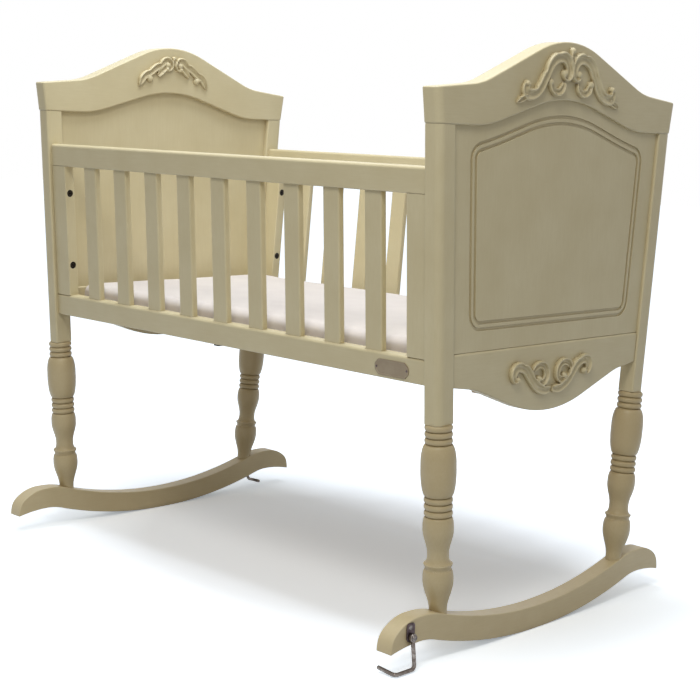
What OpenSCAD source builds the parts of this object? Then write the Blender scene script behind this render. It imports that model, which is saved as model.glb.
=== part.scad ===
// Rocking cradle: two shaped end boards, slatted sides, turned legs and curved rockers.
// Frame: X runs from the foot board to the head board, Y from front to back, Z up.
// The origin is on the floor, at the middle of the plan.
// Heights "along the lean" are measured from the floor along a leaning post.

/* [Overall] */
// Length over the outer faces of the corner posts
body_l = 990; // [940:10:1040]
// Angle by which posts, legs and side frames lean outwards
lean = 3.7; // [3:0.1:4.2]
// Distance of the post axis from the middle plane, at floor level
foot_y = 224.8; // [220:0.2:230]

/* [Corner posts] */
// Thickness of a post along the cradle
post_t = 30; // [28:1:34]
// Width of a post across the cradle
post_w = 34; // [31:1:36]
// Radius on the outer corner of a post
post_r = 12; // [6:1:14]
// Height along the lean where the square post ends and the turned leg begins
post_bottom = 361.8; // [354:0.2:370]

/* [Crest rails] */
// Thickness of a crest rail
crest_t = 32; // [28:1:36]
// Height of the crest's highest point
crest_top = 925.6; // [915:0.2:940]
// Height of the crest's underside at the middle
crest_under = 838.3; // [830:0.1:844]
// Half width of a crest rail at its lower end corner
crest_half = 294; // [293:0.5:300]
// Slant of the crest's ends, in degrees
crest_slant = 8.7; // [0:0.1:12]
// Radius on the outer vertical corners of a crest
crest_r = 12; // [6:1:14]

/* [Panels] */
// Thickness of a panel
panel_t = 15; // [12:1:18]
// Step from the post's outer face back to the panel's face
panel_recess = 5; // [4:0.5:8]
// Height of the joint between panel and apron
panel_bottom = 464; // [458:1:470]
// Width of one moulding groove
groove_w = 5.5; // [3:0.5:7]
// Depth of a moulding groove
groove_d = 2.5; // [1:0.5:4]
// Distance from the first moulding groove to the second
groove_pitch = 10; // [8:0.5:12]
// Distance from the crest's underside down to the outer groove
groove_head = 22.8; // [16:0.2:30]
// Distance from the panel's sides to the outer groove
groove_side = 37; // [28:1:46]
// Distance from the panel's bottom to the outer groove
groove_foot = 30; // [20:1:40]
// Radius of the outer groove's corners
groove_r = 26; // [16:1:30]

/* [Aprons] */
// Thickness of an apron
apron_t = 22; // [18:1:26]
// Step from the post's outer face back to the apron's face
apron_recess = 3; // [1:0.5:4]
// Height of the apron's lowest point
apron_low = 357; // [350:1:362]
// Width of the bevel along the apron's top edge
apron_bevel = 3; // [1:0.5:5]

/* [Side frames] */
// Thickness of rails and stiles
rail_t = 20; // [18:1:22]
// Step from the post's side back to the frame's outer face
rail_recess = 6.5; // [4:0.5:8]
// Height of the top rail's upper edge, along the lean
top_rail_top = 735.7; // [720:0.1:760]
// Depth of the top rail
top_rail_h = 39.6; // [34:0.2:46]
// Height of the bottom rail's lower edge, along the lean
low_rail_bottom = 417.2; // [414:0.2:420]
// Depth of the bottom rail
low_rail_h = 39.1; // [36:0.1:42]
// Radius on the rails' outer upper edges
rail_r = 5; // [2:0.5:7]
// Width of a stile
stile_w = 40; // [36:1:46]

/* [Slats] */
// Number of slats in each side
slat_count = 9; // [9]
// Width of a slat
slat_w = 35; // [28:1:40]
// Thickness of a slat
slat_t = 12; // [9:0.5:13]
// Step from the rail's outer face back to the slat's face
slat_recess = 4; // [3:0.5:5]
// Length of a slat that is let into each rail
slat_tenon = 8; // [5:1:12]
// Radius on a slat's long edges
slat_r = 3; // [1:0.5:4]

/* [Rockers] */
// Thickness of a rocker
rocker_t = 30; // [26:1:32]
// Depth of a rocker at its middle
rocker_h = 38; // [35:0.5:41]
// Radius of the curve that rolls on the floor
rocker_r = 827; // [810:1:845]
// Radius that the upper curve has beyond a curve parallel to the lower one
rocker_taper = 1; // [-6:0.5:6]
// Length of the short flat at the rocker's middle
rocker_flat = 16; // [10:1:24]

/* [Turned legs] */
// Diameter of the beads
bead_d = 43; // [40:1:46]
// Diameter of the large swelling
bulge_d = 54; // [48:1:58]
// Diameter of the lower swelling
low_swell_d = 47; // [42:1:50]
// Diameter of the neck
neck_d = 33; // [30:0.5:38]
// Diameter of the flared ring under the neck
ring_d = 44; // [41:0.5:47]
// Diameter of the vase near the foot
vase_d = 46.5; // [42:0.5:50]
// Diameter of the foot where it meets the rocker
foot_d = 27; // [25:1:32]
// Diameter of the tenon in the post
tenon_d = 16; // [12:1:18]
// Length of the tenon in the post
tenon_l = 30; // [20:1:36]

/* [Bed] */
// Distance of the board's underside below the bottom rails
board_drop = 4; // [3:0.5:6]
// Thickness of the mattress board
board_t = 10; // [8:1:12]
// Gap between the mattress board and each apron
board_end_gap = 6; // [5:1:12]
// Gap between the mattress board and each bottom rail
board_side_gap = 5; // [4:0.5:8]
// Section of the cleats under the board's ends
cleat = 20; // [16:1:20]
// Length of a cleat
cleat_l = 280; // [200:10:280]
// Gap between the mattress and each apron
mattress_end_gap = 12.5; // [8:0.5:20]
// Gap between the mattress and each bottom rail
mattress_side_gap = 6; // [6:0.5:14]
// Thickness of the mattress at its middle
mattress_h = 52; // [40:1:60]

/* [Fasteners] */
// Diameter of a side bolt
bolt_d = 5; // [4:0.5:6]
// Diameter of a side bolt's head
bolt_head_d = 13; // [8:0.5:14]
// Height of the lower side bolts, along the lean
bolt_low = 512.5; // [490:0.5:540]
// Height of the upper side bolts, along the lean
bolt_high = 646; // [620:1:660]
// Outer diameter of a threaded insert
insert_d = 10; // [9:0.5:12]
// Length of a threaded insert
insert_l = 14; // [10:1:16]
// Diameter of a wooden dowel
dowel_d = 8; // [6:1:10]
// Length of a wooden dowel
dowel_l = 40; // [30:1:44]
// Diameter of a rocker screw
screw_d = 5.5; // [4.5:0.5:6]

/* [Stops] */
// Diameter of the stop rod
rod_d = 6.4; // [5.6:0.2:7]
// Distance of the stop's pivot from the middle plane
stop_y = 307; // [304:0.5:309]
// Height of the stop's pivot
stop_z = 54; // [52:0.5:56]
// Height of the rod's foot above the floor
toe_gap = 1.5; // [1:0.1:4]
// Length of the rod's foot, from the bend to the corner
stop_foot_l = 42; // [40:0.5:44]
// Length of the rod's toe
toe_l = 34; // [26:1:35]
// Angle by which the foot board's rod is swung inwards
parked = 84; // [80:1:90]

/* [Nameplate] */
// Length of the bare plate
plate_l = 68; // [56:1:76]
// Height of the bare plate
plate_h = 24.5; // [20:0.5:34]
// Distance of the plate's centre from the head posts
plate_in = 69; // [60:1:120]
// Distance of the plate's centre below the rail's middle
plate_drop = 2.6; // [0:0.1:3]

/* [Carvings] */
// Length that one unit of the carvings' drawings stands for
carve_unit = 1; // [0.9:0.02:1.04]
// Height that the carvings stand off the boards
carve_h = 6; // [4:0.5:8]
// Width of the large scroll bands
scroll_w = 13; // [10:0.5:14]
// Width of the small scroll bands
scroll_small_w = 8; // [6:0.5:9]
// Distance that a carving's upper layer is set in from its edge
carve_step = 2; // [1:0.25:2.5]
// Half the width of the clefts that a carving's lower layer closes
carve_ease = 0.5; // [0.25:0.25:1]

/* [Hidden] */

ENDS = ["head", "foot"];
SIDES = ["front", "back"];
cream = [0.90, 0.87, 0.76];
linen = [0.95, 0.94, 0.92];
bare_wood = [0.80, 0.68, 0.50];
dark_steel = [0.22, 0.19, 0.18];
bright_steel = [0.62, 0.62, 0.60];
bronze = [0.42, 0.36, 0.28];

fine = 64;            // facets of a large round
small = 32;           // facets of a small round
fit = 0.1;            // added to the diameter of a hole round a pin
slip = 0.3;           // gap round a piece that is let in or laid in loosely
eps = 1;              // overshoot of a cut past a face

outer_x = body_l / 2;
inner_x = outer_x - post_t;
post_x = outer_x - post_t / 2;
crest_x = outer_x + 1;
panel_x = outer_x - panel_recess;
apron_x = outer_x - apron_recess;
apron_in_x = apron_x - apron_t;
stile_x = inner_x - stile_w;

// Distances outwards from the post's axis
rail_out = post_w / 2 - rail_recess;
rail_mid = rail_out - rail_t / 2;
rail_in = rail_out - rail_t;
slat_out = rail_out - slat_recess;

top_rail_under = top_rail_top - top_rail_h;
low_rail_top = low_rail_bottom + low_rail_h;
slat_pitch = slat_w + (2 * stile_x - slat_count * slat_w) / (slat_count + 1);

// Wave outlines: [radius at the middle, slope, end of the straight, outer radius, end slope]
CREST_OVER = [190, 0.4228, 184, 150, 0.1];
CREST_UNDER = [260, 0.2903, 161, 200, 0];
APRON_UNDER = [260, 0.36, 170, 120, 0.15];
GROOVE = [300, 0.3, 150, 200, 0.25];
under_flat = crest_under - wave(crest_half, CREST_UNDER);
rocker_top_r = rocker_r - rocker_h + rocker_taper;
groove_top = crest_under - groove_head;

// ---- Outlines ----

// Drop of a wave outline at a distance y from the middle.
function wave(y, w) =
    let (a = abs(y), angle = atan(w[1]), tail = atan(w[4]))
    let (y1 = w[0] * sin(angle), d1 = w[0] * (1 - cos(angle)))
    let (y2 = w[2], d2 = d1 + w[1] * (y2 - y1))
    let (y3 = y2 + w[3] * (sin(angle) - sin(tail)), d3 = d2 + w[3] * (cos(tail) - cos(angle)))
    a < y1 ? w[0] - sqrt(w[0] * w[0] - a * a)
    : a < y2 ? d1 + w[1] * (a - y1)
    : a < y3 ? d2 + w[3] * (sqrt(1 - pow(sin(angle) - (a - y2) / w[3], 2)) - cos(angle))
    : d3 + w[4] * (a - y3);

// Distances from the middle at which a wave's arcs are cut into straights, up to a limit.
function stations(w, limit) =
    let (angle = atan(w[1]), y1 = w[0] * sin(angle))
    let (y3 = w[2] + w[3] * (sin(angle) - sin(atan(w[4]))))
    let (all = concat([for (i = [0 : 8]) y1 * i / 8], [for (i = [0 : 6]) w[2] + (y3 - w[2]) * i / 6]))
    concat([for (y = all) if (y < limit - 1) y], [limit]);

// Points of a wave from -limit to limit, falling (-1) or rising (1) from its middle height.
function wave_points(w, limit, middle, way) =
    let (half = stations(w, limit), n = len(half))
    concat([for (i = [n - 1 : -1 : 1]) [-half[i], middle + way * wave(half[i], w)]],
           [for (y = half) [y, middle + way * wave(y, w)]]);

// The same points from limit to -limit.
function wave_back(w, limit, middle, way) =
    [for (p = wave_points(w, limit, middle, way)) [-p[0], p[1]]];

// Half width between the inner sides of two posts at height z.
function post_in(z) = foot_y + z * tan(lean) - post_w / 2 / cos(lean);

// Half width between the inner faces of the two sides' rails at height z.
function rail_in_y(z) = foot_y + z * tan(lean) + rail_in / cos(lean);

// Half width at which an apron's lower edge meets the posts.
function apron_half(guess = foot_y, tries = 5) =
    tries == 0 ? guess : apron_half(post_in(apron_low + wave(guess, APRON_UNDER)), tries - 1);

// Rounds the corner b between a and c with radius r.
function corner(a, b, c, r, n = 6) =
    let (u = (a - b) / norm(a - b), v = (c - b) / norm(c - b))
    let (half = acos(u * v) / 2, m = b + (u + v) / norm(u + v) * r / sin(half))
    let (p = b + u * r / tan(half) - m, turn = 180 - 2 * half)
    let (way = u[0] * v[1] - u[1] * v[0] > 0 ? -1 : 1)
    [for (i = [0 : n]) let (t = way * turn * i / n)
        m + [p[0] * cos(t) - p[1] * sin(t), p[0] * sin(t) + p[1] * cos(t)]];

// A closed outline whose corners are rounded, each by its own radius.
function rounded(points, radii) =
    let (n = len(points))
    [for (i = [0 : n - 1])
        each radii[i] > 0 ? corner(points[(i + n - 1) % n], points[i], points[(i + 1) % n], radii[i])
                          : [points[i]]];

// A rectangle from low to high; the radii run from its low corner, anticlockwise.
function box_outline(low, high, radii) =
    rounded([low, [high[0], low[1]], high, [low[0], high[1]]], radii);

// A smooth swelling of a turning between two stations [radius, height].
function swell(a, b, n = 7) =
    [for (i = [0 : n - 1]) let (t = (1 - cos(180 * i / n)) / 2)
        [a[0] + (b[0] - a[0]) * t, a[1] + (b[1] - a[1]) * i / n]];

// A full shoulder of a turning, steep where it starts and level where it ends.
function shoulder(a, b, n = 7) =
    [for (i = [0 : n - 1]) let (t = 90 * i / n)
        [a[0] + (b[0] - a[0]) * sin(t), a[1] + (b[1] - a[1]) * (1 - cos(t))]];

// The same the other way round, level where it starts and steep where it ends.
function flare(a, b, n = 7) =
    [for (i = [0 : n - 1]) let (t = 90 * i / n)
        [a[0] + (b[0] - a[0]) * (1 - cos(t)), a[1] + (b[1] - a[1]) * sin(t)]];

// Round beads of radius r on a turning, stacked downwards from a height.
function beads(top, pitch, count, r) =
    [for (k = [0 : count - 1], i = [0 : 5])
        [r - pitch * 0.3 * (1 - sin(15 + 30 * i)), top - pitch * (k + (i + 0.5) / 6)]];

// The end point of an arc [radius, turn], or of a straight [0, length], from a heading h.
function arc_end(p, h, arc) =
    arc[0] == 0 ? p + arc[1] * [cos(h), sin(h)]
    : let (s = sign(arc[1]), m = p + s * arc[0] * [-sin(h), cos(h)], e = h + arc[1])
        m + s * arc[0] * [sin(e), -cos(e)];

// Follows arcs from a point and heading: a list of [point, heading].
function trace(p, h, arcs, i = 0) =
    i == len(arcs) ? [[p, h]]
    : concat([[p, h]],
             trace(arc_end(p, h, arcs[i]), h + (arcs[i][0] == 0 ? 0 : arcs[i][1]), arcs, i + 1));

// Cuts each arc into short ones, so that its chords stay near the curve.
function cut_arcs(arcs) =
    [for (a = arcs, n = a[0] == 0 ? 1 : ceil(abs(a[1]) * sqrt(a[0]) / 40), k = [1 : n])
        a[0] == 0 ? a : [a[0], a[1] / n]];

function trace_points(p, h, arcs) = [for (q = trace(p, h, cut_arcs(arcs))) q[0]];

// ---- Placing ----

// Puts the head board's piece at the head or the foot end, half a turn apart.
module at_end(end) {
    rotate([0, 0, end == "head" ? 0 : 180]) children();
}

// Puts the head board's front corner piece at any corner.
module at_corner(end, side) {
    if (end == "head" && side == "front") children();
    if (end == "head" && side == "back") mirror([0, 1, 0]) children();
    if (end == "foot" && side == "front") mirror([1, 0, 0]) children();
    if (end == "foot" && side == "back") rotate([0, 0, 180]) children();
}

// The leaning frame of the front side: local z runs up the lean, local -y faces out.
module leaning() {
    translate([0, -foot_y, 0]) rotate([lean, 0, 0]) children();
}

// Stands a drawing of (y, z) up and gives it a thickness from x0 to x1.
module along_x(x0, x1) {
    translate([x0, 0, 0]) rotate([90, 0, 90]) linear_extrude(x1 - x0) children();
}

// ---- End boards ----

// Dowels between the front post's top and the crest, or their holes.
module crest_dowels(grow) {
    more = grow > 0 ? slip : 0;
    for (dx = [-post_t / 4, post_t / 4]) leaning()
        translate([post_x + dx, 0, under_flat / cos(lean) - dowel_l / 2 - more])
            cylinder(d = dowel_d + grow, h = dowel_l + 2 * more, $fn = small);
}

// Dowels between the front post and the apron, or their holes.
module apron_dowels(grow) {
    more = grow > 0 ? slip : 0;
    for (s = [panel_bottom - 18, panel_bottom - 38]) leaning()
        translate([apron_x - apron_t / 2, post_w / 2 - dowel_l / 2 - more, s]) rotate([-90, 0, 0])
            cylinder(d = dowel_d + grow, h = dowel_l + 2 * more, $fn = small);
}

// The tilted prisms that give a crest its slanted, rounded ends.
module crest_ends() {
    inside = crest_x - crest_t;
    intersection_for (way = [-1, 1])
        translate([0, way * crest_half, under_flat]) rotate([-way * crest_slant, 0, 0])
            translate([0, 0, -crest_half]) linear_extrude(3 * crest_half)
                polygon(way > 0
                    ? box_outline([inside, -3 * crest_half], [crest_x, 0], [0, 0, crest_r, 4])
                    : box_outline([inside, 0], [crest_x, 3 * crest_half], [4, crest_r, 0, 0]));
}

module crest(end) {
    reach = crest_half + 30;
    color(cream) at_end(end) difference() {
        intersection() {
            along_x(crest_x - crest_t, crest_x)
                polygon(concat(wave_points(CREST_OVER, reach, crest_top, -1),
                               wave_back(CREST_UNDER, reach, crest_under, -1)));
            crest_ends();
        }
        for (side = SIDES) at_corner("head", side) crest_dowels(fit);
    }
}

// The closed line of the moulding, moved in by an inset.
function moulding(inset) =
    let (foot = panel_bottom + groove_foot + inset, top = groove_top - inset)
    let (edge = groove_side + inset, y0 = post_in(foot) - edge)
    let (y1 = post_in(top - wave(foot_y, GROOVE)) - edge)
    let (arch = wave_points(GROOVE, y1, top, -1), n = len(arch), r = max(groove_r - inset, 2))
    concat(corner([y0, foot], arch[n - 1], arch[n - 2], r),
           [for (i = [n - 2 : -1 : 1]) arch[i]],
           corner(arch[1], arch[0], [-y0, foot], r),
           corner(arch[0], [-y0, foot], [y0, foot], r),
           corner([-y0, foot], [y0, foot], arch[n - 1], r));

module panel(end) {
    foot = post_in(panel_bottom);
    color(cream) at_end(end) difference() {
        along_x(panel_x - panel_t, panel_x)
            polygon(concat([[-foot, panel_bottom], [foot, panel_bottom]],
                           wave_back(CREST_UNDER, post_in(under_flat), crest_under, -1)));
        for (inset = [0, groove_pitch])
            along_x(panel_x - groove_d, panel_x + eps) difference() {
                polygon(moulding(inset));
                polygon(moulding(inset + groove_w));
            }
    }
}

module apron(end) {
    top = post_in(panel_bottom);
    color(cream) at_end(end) difference() {
        along_x(apron_in_x, apron_x)
            polygon(concat(wave_points(APRON_UNDER, apron_half(), apron_low, 1),
                           [[top, panel_bottom], [-top, panel_bottom]]));
        translate([apron_x, 0, panel_bottom]) rotate([0, 45, 0])
            cube([apron_bevel * sqrt(2), 2 * top + 2 * eps, apron_bevel * sqrt(2)], center = true);
        for (side = SIDES) at_corner("head", side) apron_dowels(fit);
        cleat_screws(fit);
    }
}

// ---- Posts and legs ----

module post(end, side) {
    color(cream) at_corner(end, side) difference() {
        intersection() {
            leaning() translate([0, 0, post_bottom]) linear_extrude(crest_top - post_bottom)
                polygon(box_outline([inner_x, -post_w / 2], [outer_x, post_w / 2], [3, post_r, 3, 3]));
            translate([0, -2 * foot_y, 0]) cube([body_l, 2 * foot_y, under_flat]);
        }
        leaning() {
            translate([post_x, 0, post_bottom - eps])
                cylinder(d = tenon_d + fit, h = tenon_l + slip + eps, $fn = small);
            for (s = [bolt_low, bolt_high]) translate([inner_x - eps, -rail_mid, s]) rotate([0, 90, 0])
                cylinder(d = insert_d + fit, h = insert_l + 2 * eps, $fn = small);
        }
        crest_dowels(fit);
        apron_dowels(fit);
    }
}

// Radii of the turning that no other piece depends on
waist_r = 19.5;       // between the upper beads and the large swelling
base_r = 20.3;        // above and below the lower beads
ring_under_r = 19.7;  // under the flared ring
ring_edge = 2.5;      // height of that ring's edge

// The turning as [radius, height along the lean], from its tenon down through the rocker.
function leg_outline() =
    let (top = post_bottom, bead = bead_d / 2, bulge = bulge_d / 2, low = low_swell_d / 2)
    let (neck = neck_d / 2, ring = ring_d / 2, vase = vase_d / 2, foot = foot_d / 2)
    concat([[0, top + tenon_l], [tenon_d / 2, top + tenon_l], [tenon_d / 2, top], [waist_r, top]],
           beads(top, 9.9, 3, bead - 0.5),
           shoulder([waist_r, top - 29.8], [bulge, top - 60]),
           flare([bulge, top - 69], [base_r, top - 110]),
           beads(top - 110, 10, 3, bead),
           shoulder([base_r, top - 140], [low, top - 156], 5),
           swell([low, top - 160], [neck, top - 198]),
           flare([neck, top - 201], [ring, top - 213], 5),
           [[ring, top - 213], [ring, top - 213 - ring_edge], [ring_under_r, top - 221]],
           shoulder([ring_under_r, top - 222], [vase, top - 236], 5),
           swell([vase, top - 239], [foot, top - 287], 9),
           [[foot, top - 287], [foot, 20], [0, 20]]);

module leg(end, side) {
    color(cream) at_corner(end, side) difference() {
        intersection() {
            leaning() translate([post_x, 0, 0]) rotate_extrude($fn = fine) polygon(leg_outline());
            translate([inner_x - post_t, 0, rocker_h + rocker_top_r]) rotate([0, 90, 0])
                cylinder(r = rocker_top_r - slip / 2, h = 3 * post_t, $fn = 360);
        }
        rocker_screw(fit);
    }
}

// ---- Side frames ----

// Puts the front side's piece at the front, or half a turn away at the back.
module at_side(side) {
    rotate([0, 0, side == "front" ? 0 : 180]) leaning() children();
}

// A plain rail between two heights, in the leaning frame.
module rail_bar(low, high, r) {
    along_x(-inner_x, inner_x) polygon(box_outline([-rail_out, low], [-rail_in, high], [2, 2, r, rail_r]));
}

function slat_centre(n) = (n - (slat_count + 1) / 2) * slat_pitch;

// The seats in the rails that the slats are let into.
module slat_seats() {
    for (n = [1 : slat_count])
        translate([slat_centre(n) - slat_w / 2, -slat_out, low_rail_top - slat_tenon])
            translate([-slip, -slip, -slip] / 2)
                cube([slat_w, slat_t, top_rail_under - low_rail_top + 2 * slat_tenon] + [slip, slip, slip]);
}

// The dowels between the rails and the stiles, or their holes.
module stile_dowels(grow) {
    more = grow > 0 ? slip : 0;
    for (s = [low_rail_top, top_rail_under], way = [-1, 1])
        translate([way * (stile_x + stile_w / 2), -rail_mid, s - dowel_l / 2 - more])
            cylinder(d = dowel_d + grow, h = dowel_l + 2 * more, $fn = small);
}

module top_rail(side) {
    color(cream) at_side(side) difference() {
        rail_bar(top_rail_under, top_rail_top, rail_r);
        slat_seats();
        stile_dowels(fit);
    }
}

module bottom_rail(side) {
    color(cream) at_side(side) difference() {
        rail_bar(low_rail_bottom, low_rail_top, 2);
        slat_seats();
        stile_dowels(fit);
        bracket_screw(fit);
        if (side == "front") plate_nails(fit);
    }
}

module stile(end, side) {
    color(cream) at_corner(end, side) leaning() difference() {
        translate([stile_x, -rail_out, low_rail_top]) cube([stile_w, rail_t, top_rail_under - low_rail_top]);
        for (s = [bolt_low, bolt_high]) translate([stile_x - eps, -rail_mid, s]) rotate([0, 90, 0]) {
            cylinder(d = bolt_d + 4 * fit, h = stile_w + 2 * eps, $fn = small);
            cylinder(d = bolt_head_d + 4 * fit, h = head_seat + eps, $fn = small);
        }
        stile_dowels(fit);
    }
}

module slat(side, n) {
    r = slat_r;
    color(cream) at_side(side) translate([slat_centre(n), 0, low_rail_top - slat_tenon])
        linear_extrude(top_rail_under - low_rail_top + 2 * slat_tenon)
            polygon(box_outline([-slat_w / 2, -slat_out], [slat_w / 2, slat_t - slat_out], [r, r, r, r]));
}

// ---- Fasteners of the frame ----

head_seat = 6;        // depth of the seat that a side bolt's head is sunk into
head_t = 5;           // thickness of that head

module side_bolts() {
    color(dark_steel) for (end = ENDS, side = SIDES) at_corner(end, side) leaning()
        for (s = [bolt_low, bolt_high]) translate([stile_x + head_seat - head_t, -rail_mid, s])
            rotate([0, 90, 0]) difference() {
                union() {
                    cylinder(d = bolt_head_d, h = head_t, $fn = small);
                    cylinder(d = bolt_d, h = stile_w - head_seat + head_t + insert_l - 2, $fn = small);
                }
                translate([0, 0, -eps]) cylinder(d = 4.6, h = head_t / 2 + eps, $fn = 6);
            }
}

module threaded_inserts() {
    color(bright_steel) for (end = ENDS, side = SIDES) at_corner(end, side) leaning()
        for (s = [bolt_low, bolt_high]) translate([inner_x, -rail_mid, s]) rotate([0, 90, 0])
            difference() {
                cylinder(d = insert_d, h = insert_l, $fn = small);
                translate([0, 0, -eps]) cylinder(d = bolt_d + fit, h = insert_l + 2 * eps, $fn = small);
            }
}

module frame_dowels() {
    color(bare_wood) {
        for (end = ENDS, side = SIDES) at_corner(end, side) {
            crest_dowels(0);
            apron_dowels(0);
        }
        for (side = SIDES) at_side(side) stile_dowels(0);
    }
}

head_deep = 11;       // depth in the rocker at which a rocker screw's head lies

// Height along the lean of the seat for that head
screw_seat = rocker_r - sqrt(rocker_r * rocker_r - foot_y * foot_y) + head_deep;

// The screw that holds the head rocker to the front leg, or its hole.
module rocker_screw(grow) {
    leaning() translate([post_x, 0, screw_seat]) {
        cylinder(d = screw_d + grow, h = 60 + 3 * grow, $fn = small);
        translate([0, 0, grow > 0 ? -30 : -5]) cylinder(d = 10 + 4 * grow, h = grow > 0 ? 30 : 5, $fn = small);
        if (grow > 0) translate([0, 0, -30]) cylinder(d = screw_d + grow, h = 31, $fn = small);
    }
}

module rocker_screws() {
    color(bright_steel) for (end = ENDS, side = SIDES) at_corner(end, side) rocker_screw(0);
}

// ---- Rockers ----

// Half of a rocker's outline: the lower curve out to the tip, and back along the upper one.
function rocker_half() =
    let (low = trace_points([rocker_flat / 2, 0], 0, [[rocker_r, 17], [110, -17], [260, -14]]))
    let (high = trace_points([0, rocker_h], 0,
        [[rocker_top_r, 17.2], [150, -17.2], [0, 10], [75, -38], [30, -45], [0, 10.5]]))
    concat(low, [for (i = [len(high) - 1 : -1 : 0]) high[i]]);

module rocker(end) {
    half = rocker_half();
    color(cream) at_end(end) difference() {
        along_x(outer_x - rocker_t, outer_x)
            polygon(concat(half, [for (i = [len(half) - 2 : -1 : 0]) [-half[i][0], half[i][1]]]));
        for (side = SIDES) at_corner("head", side) rocker_screw(fit);
        stop_screw(fit);
        stop_fixing(fit);
    }
}

// ---- Stops: each rod swings on a screw beside the rocker's end ----

plate_t = 2;          // thickness of the stop's plate
run = 0.3;            // play beside the rod's eye
pivot_d = 5;          // diameter of the pivot screw
fixing_d = 4;         // diameter of the fixing screw
fixing_head_d = 7.5;  // diameter of its sunk head
arm_lean = 8.1;       // angle of the rod's arm from upright
bend_r = 6;           // radius of the rod's bends, at its middle line
toe_rise = 3;         // rise of the rod's toe towards its tip
eye_d = 13;           // outer diameter of the rod's eye
upset = 0.1;          // the bent stretches are this much thicker than the bar
fixing_at = [-1.5, 14.5];
rod_x = outer_x + plate_t + run + rod_d / 2;
arm_l = (stop_z - toe_gap - rod_d / 2) / cos(arm_lean);

// Places a piece at the head board's stop pivot, with z pointing away from the rocker.
module at_pivot() {
    translate([outer_x, -stop_y, stop_z]) rotate([90, 0, 90]) children();
}

module stop_screw(grow) {
    head = plate_t + rod_d + 2 * run;
    at_pivot() {
        translate([0, 0, -20 - grow]) cylinder(d = pivot_d + grow, h = 20 + head + 1, $fn = small);
        if (grow == 0) translate([0, 0, head]) cylinder(d = 10, h = 2.6, $fn = small);
    }
}

module stop_fixing(grow) {
    at_pivot() translate(fixing_at) {
        translate([0, 0, -16 - grow]) cylinder(d = fixing_d + grow, h = 16.5 + grow, $fn = small);
        cylinder(d1 = fixing_d + grow, d2 = fixing_head_d + grow, h = plate_t, $fn = small);
    }
}

module stop_plates() {
    color(dark_steel) for (end = ENDS) at_end(end) difference() {
        at_pivot() linear_extrude(plate_t) polygon(box_outline([-8.5, -8], [8.5, 21], [8, 8, 5, 5]));
        stop_screw(fit);
        stop_fixing(fit);
    }
}

module stop_screws() {
    color(bright_steel) for (end = ENDS) at_end(end) {
        stop_screw(0);
        difference() {
            stop_fixing(0);
            at_pivot() translate([fixing_at[0], fixing_at[1], plate_t]) cube([5, 1, 1.4], center = true);
        }
    }
}

// A round bar between two points.
module bar(a, b) {
    d = b - a;
    translate(a) rotate([0, acos(d[2] / norm(d)), atan2(d[1], d[0])])
        cylinder(d = rod_d, h = norm(d), $fn = small);
}

// Distance from a corner to where a bend of radius r begins.
function bend_reach(a, b, c, r) =
    r * tan(acos((b - a) * (c - b) / norm(b - a) / norm(c - b)) / 2);

// The bend of a bar at b, on its way from a to c.
module elbow(a, b, c, r) {
    u = (b - a) / norm(b - a);
    v = (c - b) / norm(c - b);
    turn = acos(u * v);
    side = (v - u * cos(turn)) / sin(turn);
    m = b - u * bend_reach(a, b, c, r) + side * r;
    up = cross(-side, u);
    multmatrix([for (i = [0 : 2]) [-side[i], u[i], up[i], m[i]]])
        rotate_extrude(angle = turn, $fn = fine) translate([r, 0])
            circle(d = rod_d + upset, $fn = small);
}

// The bent rod about its pivot: arm, foot and toe, with an eye round the pivot screw.
module stop_rod(end, swing) {
    start = [0, 0, 0];
    low = arm_l * [0, sin(arm_lean), -cos(arm_lean)];
    far = low - [0, stop_foot_l, 0];
    tip = far + [-toe_l, 0, toe_rise];
    u = (far - low) / norm(far - low);
    a = bend_reach(start, low, far, bend_r) - upset;
    b = bend_reach(low, far, tip, bend_r) - upset;
    color(dark_steel) at_end(end) translate([rod_x, -stop_y, stop_z]) rotate([swing, 0, 0]) difference() {
        union() {
            bar(start, low - a * low / norm(low));
            elbow(start, low, far, bend_r);
            bar(low + a * u, far - b * u);
            elbow(low, far, tip, bend_r);
            bar(far + b * (tip - far) / norm(tip - far), tip);
            translate([-rod_d / 2 - upset, 0, 0]) rotate([0, 90, 0])
                cylinder(d = eye_d, h = rod_d + 2 * upset, $fn = small);
        }
        translate([-rod_d, 0, 0]) rotate([0, 90, 0]) cylinder(d = pivot_d + fit, h = 2 * rod_d, $fn = small);
    }
}

// ---- Bed ----

board_z = low_rail_bottom * cos(lean) - board_drop;
bed_top = board_z + board_t;
board_l = 2 * (apron_in_x - board_end_gap);
board_w = 2 * (rail_in_y(board_z) - board_side_gap);
mattress_l = 2 * (apron_in_x - mattress_end_gap);
mattress_w = 2 * (rail_in_y(bed_top) - mattress_side_gap);

module mattress_board() {
    color(bare_wood) translate([-board_l / 2, -board_w / 2, board_z]) cube([board_l, board_w, board_t]);
}

// The screws that hold the head cleat to its apron, or their holes.
module cleat_screws(grow) {
    for (y = [-cleat_l / 3, cleat_l / 3])
        translate([apron_in_x - cleat, y, board_z - cleat / 2]) rotate([0, 90, 0]) {
            cylinder(d = 4 + grow, h = cleat + 12 + grow, $fn = small);
            cylinder(d1 = 8 + grow, d2 = 4 + grow, h = 2.5, $fn = small);
        }
}

module board_cleats() {
    color(bare_wood) for (end = ENDS) at_end(end) difference() {
        translate([apron_in_x - cleat, -cleat_l / 2, board_z - cleat]) cube([cleat, cleat_l, cleat]);
        cleat_screws(fit);
    }
}

bracket_x = -30;      // place of the front bracket along its rail
bracket_w = 12;       // width of a bracket
bracket_t = 2;        // thickness of its upright
lip_t = 3;            // thickness of its lip under the board
lip_l = 26;           // length of that lip

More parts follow.
